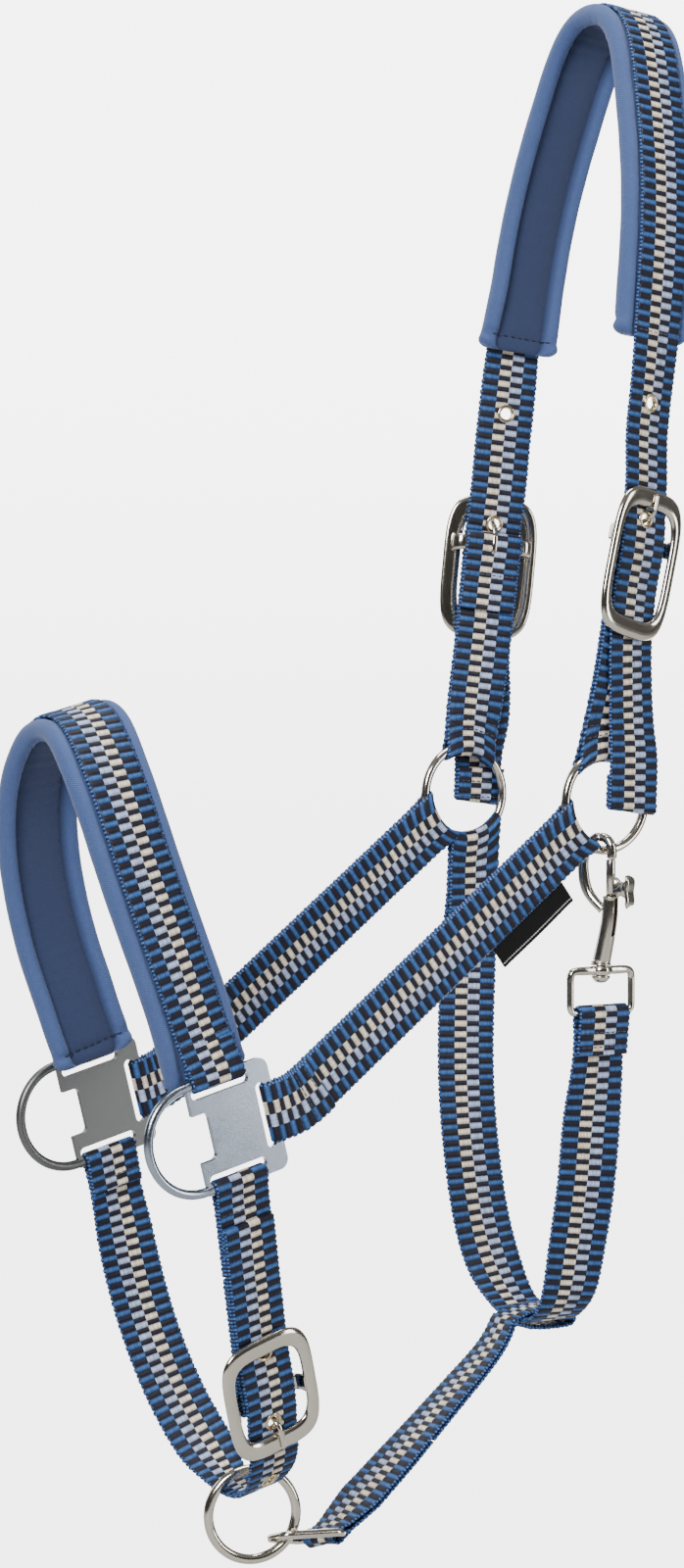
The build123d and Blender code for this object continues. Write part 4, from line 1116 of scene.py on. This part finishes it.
def webbing_material():
    m = Nodes("webbing")
    u, v, _ = m.lay()
    comb = m.new("ShaderNodeCombineXYZ")
    m.link(m.math("MULTIPLY", u, 0.35), comb.inputs[0])
    m.link(m.math("MULTIPLY", v, 46.0), comb.inputs[1])
    wob = m.math("MULTIPLY", m.math("SUBTRACT", m.noise(comb.outputs[0], 1.0, 1.0), 0.5), 0.55)
    uu = m.math("DIVIDE", m.math("ADD", u, wob), ROW)
    row = m.math("FLOOR", uu)
    vv = m.math("ADD", v, m.math("MULTIPLY", wob, 0.012))
    col = m.math("ADD", m.math("GREATER_THAN", vv, COLUMNS[1]),
                 m.math("ADD", m.math("GREATER_THAN", vv, COLUMNS[2]),
                        m.math("GREATER_THAN", vv, COLUMNS[3])))
    phase = m.math("FRACT", m.math("ADD", m.math("MULTIPLY", m.math("ADD", uu, col), 0.5), 0.035))
    share = 0.57      # of a pair of rows, taken by the bright one
    dark = m.math("GREATER_THAN", phase, share)
    lit = m.math("MULTIPLY", phase, 1 / share)
    unlit = m.math("MULTIPLY", m.math("SUBTRACT", phase, share), 1 / (1 - share))
    f = m.math("ADD", m.math("MULTIPLY", lit, m.math("SUBTRACT", 1.0, dark)),
               m.math("MULTIPLY", unlit, dark))
    beige, lilac = rgb(246, 234, 212), rgb(180, 196, 232)
    black = rgb(20, 17, 36)
    swell = m.math("ABSOLUTE", m.math("SINE", m.math("MULTIPLY", f, math.pi)))
    # painted shade on the blue rows: dark navy at each row's edges, lighter along its middle
    blue = m.mix(m.math("POWER", swell, 0.8), rgb(14, 32, 74), rgb(52, 97, 158))
    ramp = m.mix(m.math("GREATER_THAN", vv, COLUMNS[1]), blue, beige)
    ramp = m.mix(m.math("GREATER_THAN", vv, COLUMNS[2]), ramp, lilac)
    ramp = m.mix(m.math("GREATER_THAN", vv, COLUMNS[3]), ramp, blue)
    colour = m.mix(dark, ramp, black)
    # threads, a shadow line between rows, and a little variety from row to row
    threads = m.math("ABSOLUTE", m.math("SINE", m.math("MULTIPLY", v, math.pi * 38)))
    groove = m.math("POWER", swell, 0.65)
    shade = m.math("MULTIPLY", m.math("ADD", m.math("MULTIPLY", threads, 0.65), 0.42),
                   m.math("ADD", m.math("MULTIPLY", groove, 0.85), 0.15))
    vary = m.new("ShaderNodeTexWhiteNoise", noise_dimensions="2D")
    cell = m.new("ShaderNodeCombineXYZ")
    m.link(row, cell.inputs[0])
    m.link(m.math("FLOOR", m.math("MULTIPLY", v, 38)), cell.inputs[1])
    m.link(cell.outputs[0], vary.inputs["Vector"])
    shade = m.math("MULTIPLY", shade, m.math("ADD", m.math("MULTIPLY", vary.outputs["Value"], 0.45), 0.8))
    colour = m.mix(1.0, colour, m.grey(shade), "MULTIPLY")
    # selvedge: navy and light blue turns
    near_edge = m.math("GREATER_THAN", m.math("ABSOLUTE", m.math("SUBTRACT", v, 0.5)), 0.478)
    twist = m.math("GREATER_THAN", m.math("SINE", m.math("MULTIPLY", u, 2 * math.pi / 1.7)), 0.25)
    edge_colour = m.mix(twist, rgb(26, 36, 72), rgb(66, 110, 170))
    colour = m.mix(near_edge, colour, edge_colour)
    m.link(colour, m.bsdf.inputs["Base Color"])
    m.set(Roughness=0.55, Sheen_Weight=0.03, Sheen_Roughness=0.4)
    m.bsdf.inputs["Specular IOR Level"].default_value = 0.28
    m.bump(m.math("ADD", m.math("MULTIPLY", threads, 0.7), m.math("MULTIPLY", groove, 0.6)), 0.5, 0.00022)
    return m.mat


def pad_material():
    m = Nodes("pad_fabric")
    u, g, panel = m.lay()
    a = m.math("SINE", m.math("ADD", m.math("MULTIPLY", u, 7.2), m.math("MULTIPLY", g, 3.1)))
    b = m.math("SINE", m.math("SUBTRACT", m.math("MULTIPLY", u, 7.2), m.math("MULTIPLY", g, 6.0)))
    knit = m.math("MULTIPLY", m.math("ADD", m.math("ADD", a, b), 2.0), 0.25)
    big = m.noise(object_coords(m), 38.0, 3.0)
    fine = m.noise(object_coords(m), 900.0, 2.0)
    tone = m.math("ADD", m.math("MULTIPLY", knit, 0.6), m.math("MULTIPLY", fine, 0.3))
    colour = m.mix(tone, rgb(44, 62, 104), rgb(80, 104, 156))
    colour = m.mix(m.math("MULTIPLY", big, 0.3), colour, rgb(50, 72, 128))
    # painted shade: the sunk inner panel is darkened towards deep navy
    colour = m.mix(m.math("MULTIPLY", panel, 0.74), colour, rgb(14, 25, 54))
    m.link(colour, m.bsdf.inputs["Base Color"])
    m.set(Roughness=0.85, Sheen_Weight=0.12, Sheen_Roughness=0.5)
    m.bump(m.math("ADD", knit, m.math("MULTIPLY", fine, 0.8)), 0.5, 0.00025)
    return m.mat


def thread_material():
    m = Nodes("thread")
    n = m.noise(object_coords(m), 1500.0, 1.0)
    m.link(m.mix(n, rgb(14, 18, 36), rgb(40, 50, 84)), m.bsdf.inputs["Base Color"])
    m.set(Roughness=0.6, Sheen_Weight=0.2)
    return m.mat


def metal(name, tint, rough, spangle=0.0):
    wear, bump = 0.10, 0.00003
    m = Nodes(name)
    co = object_coords(m)
    n = m.noise(co, 120.0, 4.0)
    fine = m.noise(co, 1400.0, 3.0)
    r = m.math("ADD", rough, m.math("MULTIPLY", n, wear))
    if spangle:
        vor = m.new("ShaderNodeTexVoronoi")
        vor.inputs["Scale"].default_value = 1700.0
        m.link(co, vor.inputs["Vector"])
        tone, grain, relief = m.split(vor.outputs["Color"])
        r = m.math("ADD", r, m.math("MULTIPLY", tone, spangle))
        dark = tuple(c * 0.9 for c in tint[:3]) + (1.0,)
        m.link(m.mix(grain, dark, tint), m.bsdf.inputs["Base Color"])
        m.bump(relief, 0.12, bump)
    else:
        dark = tuple(c * 0.86 for c in tint[:3]) + (1.0,)
        m.link(m.mix(n, dark, tint), m.bsdf.inputs["Base Color"])
        m.bump(m.math("ADD", m.math("MULTIPLY", n, 2.0), fine), 0.35, bump)
    m.link(r, m.bsdf.inputs["Roughness"])
    m.set(Metallic=1.0)
    return m.mat


def label_material():
    m = Nodes("label")
    co = object_coords(m)
    w = m.new("ShaderNodeTexWave")
    w.inputs["Scale"].default_value = 900.0
    m.link(co, w.inputs["Vector"])
    along, across, _ = m.lay()
    rim = m.math("ABSOLUTE", m.math("SUBTRACT", m.math("ABSOLUTE", across), 4.3))
    line = m.math("LESS_THAN", rim, 0.22)
    dash = m.math("LESS_THAN", m.math("FRACT", m.math("MULTIPLY", along, 0.8)), 0.7)
    base = m.mix(w.outputs["Fac"], rgb(5, 5, 6), rgb(13, 13, 14))
    m.link(m.mix(m.math("MULTIPLY", line, dash), base, rgb(190, 190, 188)), m.bsdf.inputs["Base Color"])
    m.set(Roughness=0.8)
    m.bsdf.inputs["Specular IOR Level"].default_value = 0.2
    m.bump(w.outputs["Fac"], 0.5, 0.0001)
    return m.mat


mats = {
    "webbing": webbing_material(), "pad": pad_material(), "thread": thread_material(),
    "nickel": metal("nickel", rgb(208, 201, 188), 0.07),
    "zinc": metal("zinc", rgb(158, 167, 181), 0.13, spangle=0.08),
    # darker, rougher grey metal, used only for the far cheek plate
    "satin": metal("satin", rgb(112, 113, 112), 0.36),
    "brassy": metal("brassy", rgb(206, 190, 158), 0.16),
    "spring": metal("spring", rgb(150, 112, 78), 0.35),
    "label": label_material(),
}


def paint(ob, key):
    ob.data.materials.clear()
    ob.data.materials.append(mats[key])


FINISHES = {
    "web_": "webbing", "pad_": "pad", "sewing_": "thread", "eyelets_": "brassy", "side_tag": "label",
    "snap_coil": "spring", "buckle_": "nickel", "tongue_": "nickel", "snap_hook_": "nickel",
    "snap_bolt_": "nickel", "snap_eye_": "nickel",
}
for o in list(bpy.data.objects):
    for start, key in FINISHES.items():
        if o.name.startswith(start):
            paint(o, key)
for name in ("cheek_plate_near", "cheek_plate_far"):
    soften = frame["nodes"][name].modifiers.new("edges", "BEVEL")
    soften.width, soften.segments, soften.limit_method = 0.00045, 2, "ANGLE"
    soften.angle_limit = radians(50)
    soften.harden_normals = False
# the far cheek plate gets a darker, rougher grey metal than the near one
CAD_FINISHES = {"cheek_plate_near": "zinc", "cheek_plate_far": "satin", "snap_spring": "spring",
                "label_tag": "label"}
for name, o in frame["nodes"].items():
    paint(o, CAD_FINISHES.get(name, "nickel"))

# ================= camera, light and backdrop =================
cam_data = bpy.data.cameras.new("camera")
cam = bpy.data.objects.new("camera", cam_data)
bpy.context.scene.collection.objects.link(cam)
bpy.context.scene.camera = cam
cam_at, look = np.array([-1.126, -1.509, -0.263]), np.array([-0.146, 0, -0.332])
cam.location = cam_at
cam.rotation_euler = Vector(look - cam_at).to_track_quat("-Z", "Y").to_euler()
cam_data.lens, cam_data.sensor_width = 96.4, 36.0
cam_data.clip_start, cam_data.clip_end = 0.01, 50.0


def backdrop():
    """Pale floor running up into a wall all round."""
    verts = []
    floor_z, steps = -900.0, 48
    rings = [(0.0, 0), (2500, 0), (5600, 0), (6400, 150), (7000, 600), (7300, 1400), (7300, 4200)]
    for r, z in rings:
        for k in range(steps):
            a = 2 * math.pi * k / steps
            verts.append((r * cos(a), r * sin(a), floor_z + z))
    ob = mesh_object("floor", verts, skin(len(rings), steps)[:-2])      # no caps
    m = Nodes("floor")
    x, y, z = m.split(object_coords(m))
    fwd = m.math("ADD", m.math("MULTIPLY", x, 0.545), m.math("MULTIPLY", y, 0.838))
    lat = m.math("SUBTRACT", m.math("MULTIPLY", x, 0.838), m.math("MULTIPLY", y, 0.545))
    strip = m.rise(m.math("ABSOLUTE", lat), 1.1, 0.55, 0.0, 1.0)
    glow = m.math("MULTIPLY", strip, m.rise(fwd, 0.2, 1.0, 0.0, 1.0))
    wall = m.rise(fwd, -2.2, 1.4, 0.16, 0.3)
    low = m.math("LESS_THAN", z, -0.85)
    tone = m.math("MAXIMUM", wall, m.math("MULTIPLY", low, 0.5))
    tone = m.math("MAXIMUM", tone, m.math("MULTIPLY", glow, 0.8))
    n = m.math("ADD", m.math("MULTIPLY", m.noise(object_coords(m), 4.0), 0.03), tone)
    m.link(m.grey(n), m.bsdf.inputs["Base Color"])
    m.link(m.math("MULTIPLY", glow, 6.0), m.bsdf.inputs["Emission Strength"])
    m.bsdf.inputs["Emission Color"].default_value = (1, 1, 1, 1)
    m.set(Roughness=0.9)
    # seen directly it is an even pale surround; in reflections it keeps its darker sides
    pale = m.new("ShaderNodeEmission")
    m.link(m.rise(z, -0.9, 0.4, 4.6, 6.0), pale.inputs["Strength"])
    seen = m.new("ShaderNodeLightPath")
    both = m.new("ShaderNodeMixShader")
    m.link(seen.outputs["Is Camera Ray"], both.inputs[0])
    m.link(m.bsdf.outputs[0], both.inputs[1])
    m.link(pale.outputs[0], both.inputs[2])
    m.link(both.outputs[0], m.nt.nodes["Material Output"].inputs["Surface"])
    ob.data.materials.append(m.mat)


backdrop()


def area(name, at, size, power, aim=(-0.15, 0, -0.35)):
    d = bpy.data.lights.new(name, "AREA")
    d.shape, d.size, d.size_y, d.energy = "RECTANGLE", size[0], size[1], power
    o = bpy.data.objects.new(name, d)
    o.location = at
    o.rotation_euler = (Vector(aim) - Vector(at)).to_track_quat("-Z", "Y").to_euler()
    o.visible_camera = False
    bpy.context.scene.collection.objects.link(o)


area("key", (-2.0, -1.4, 1.0), (1.0, 1.3), 96)
area("fill", (1.3, -1.9, 0.1), (0.6, 1.7), 27)
area("top", (-0.1, 0.2, 1.7), (1.2, 1.2), 46)
area("back", (-0.6, 2.4, 0.4), (1.6, 1.6), 26)
world = bpy.data.worlds.new("studio")
bpy.context.scene.world = world
world.use_nodes = True
bg = world.node_tree.nodes["Background"]
bg.inputs["Color"].default_value = (1, 1, 1, 1)
bg.inputs["Strength"].default_value = 0.25
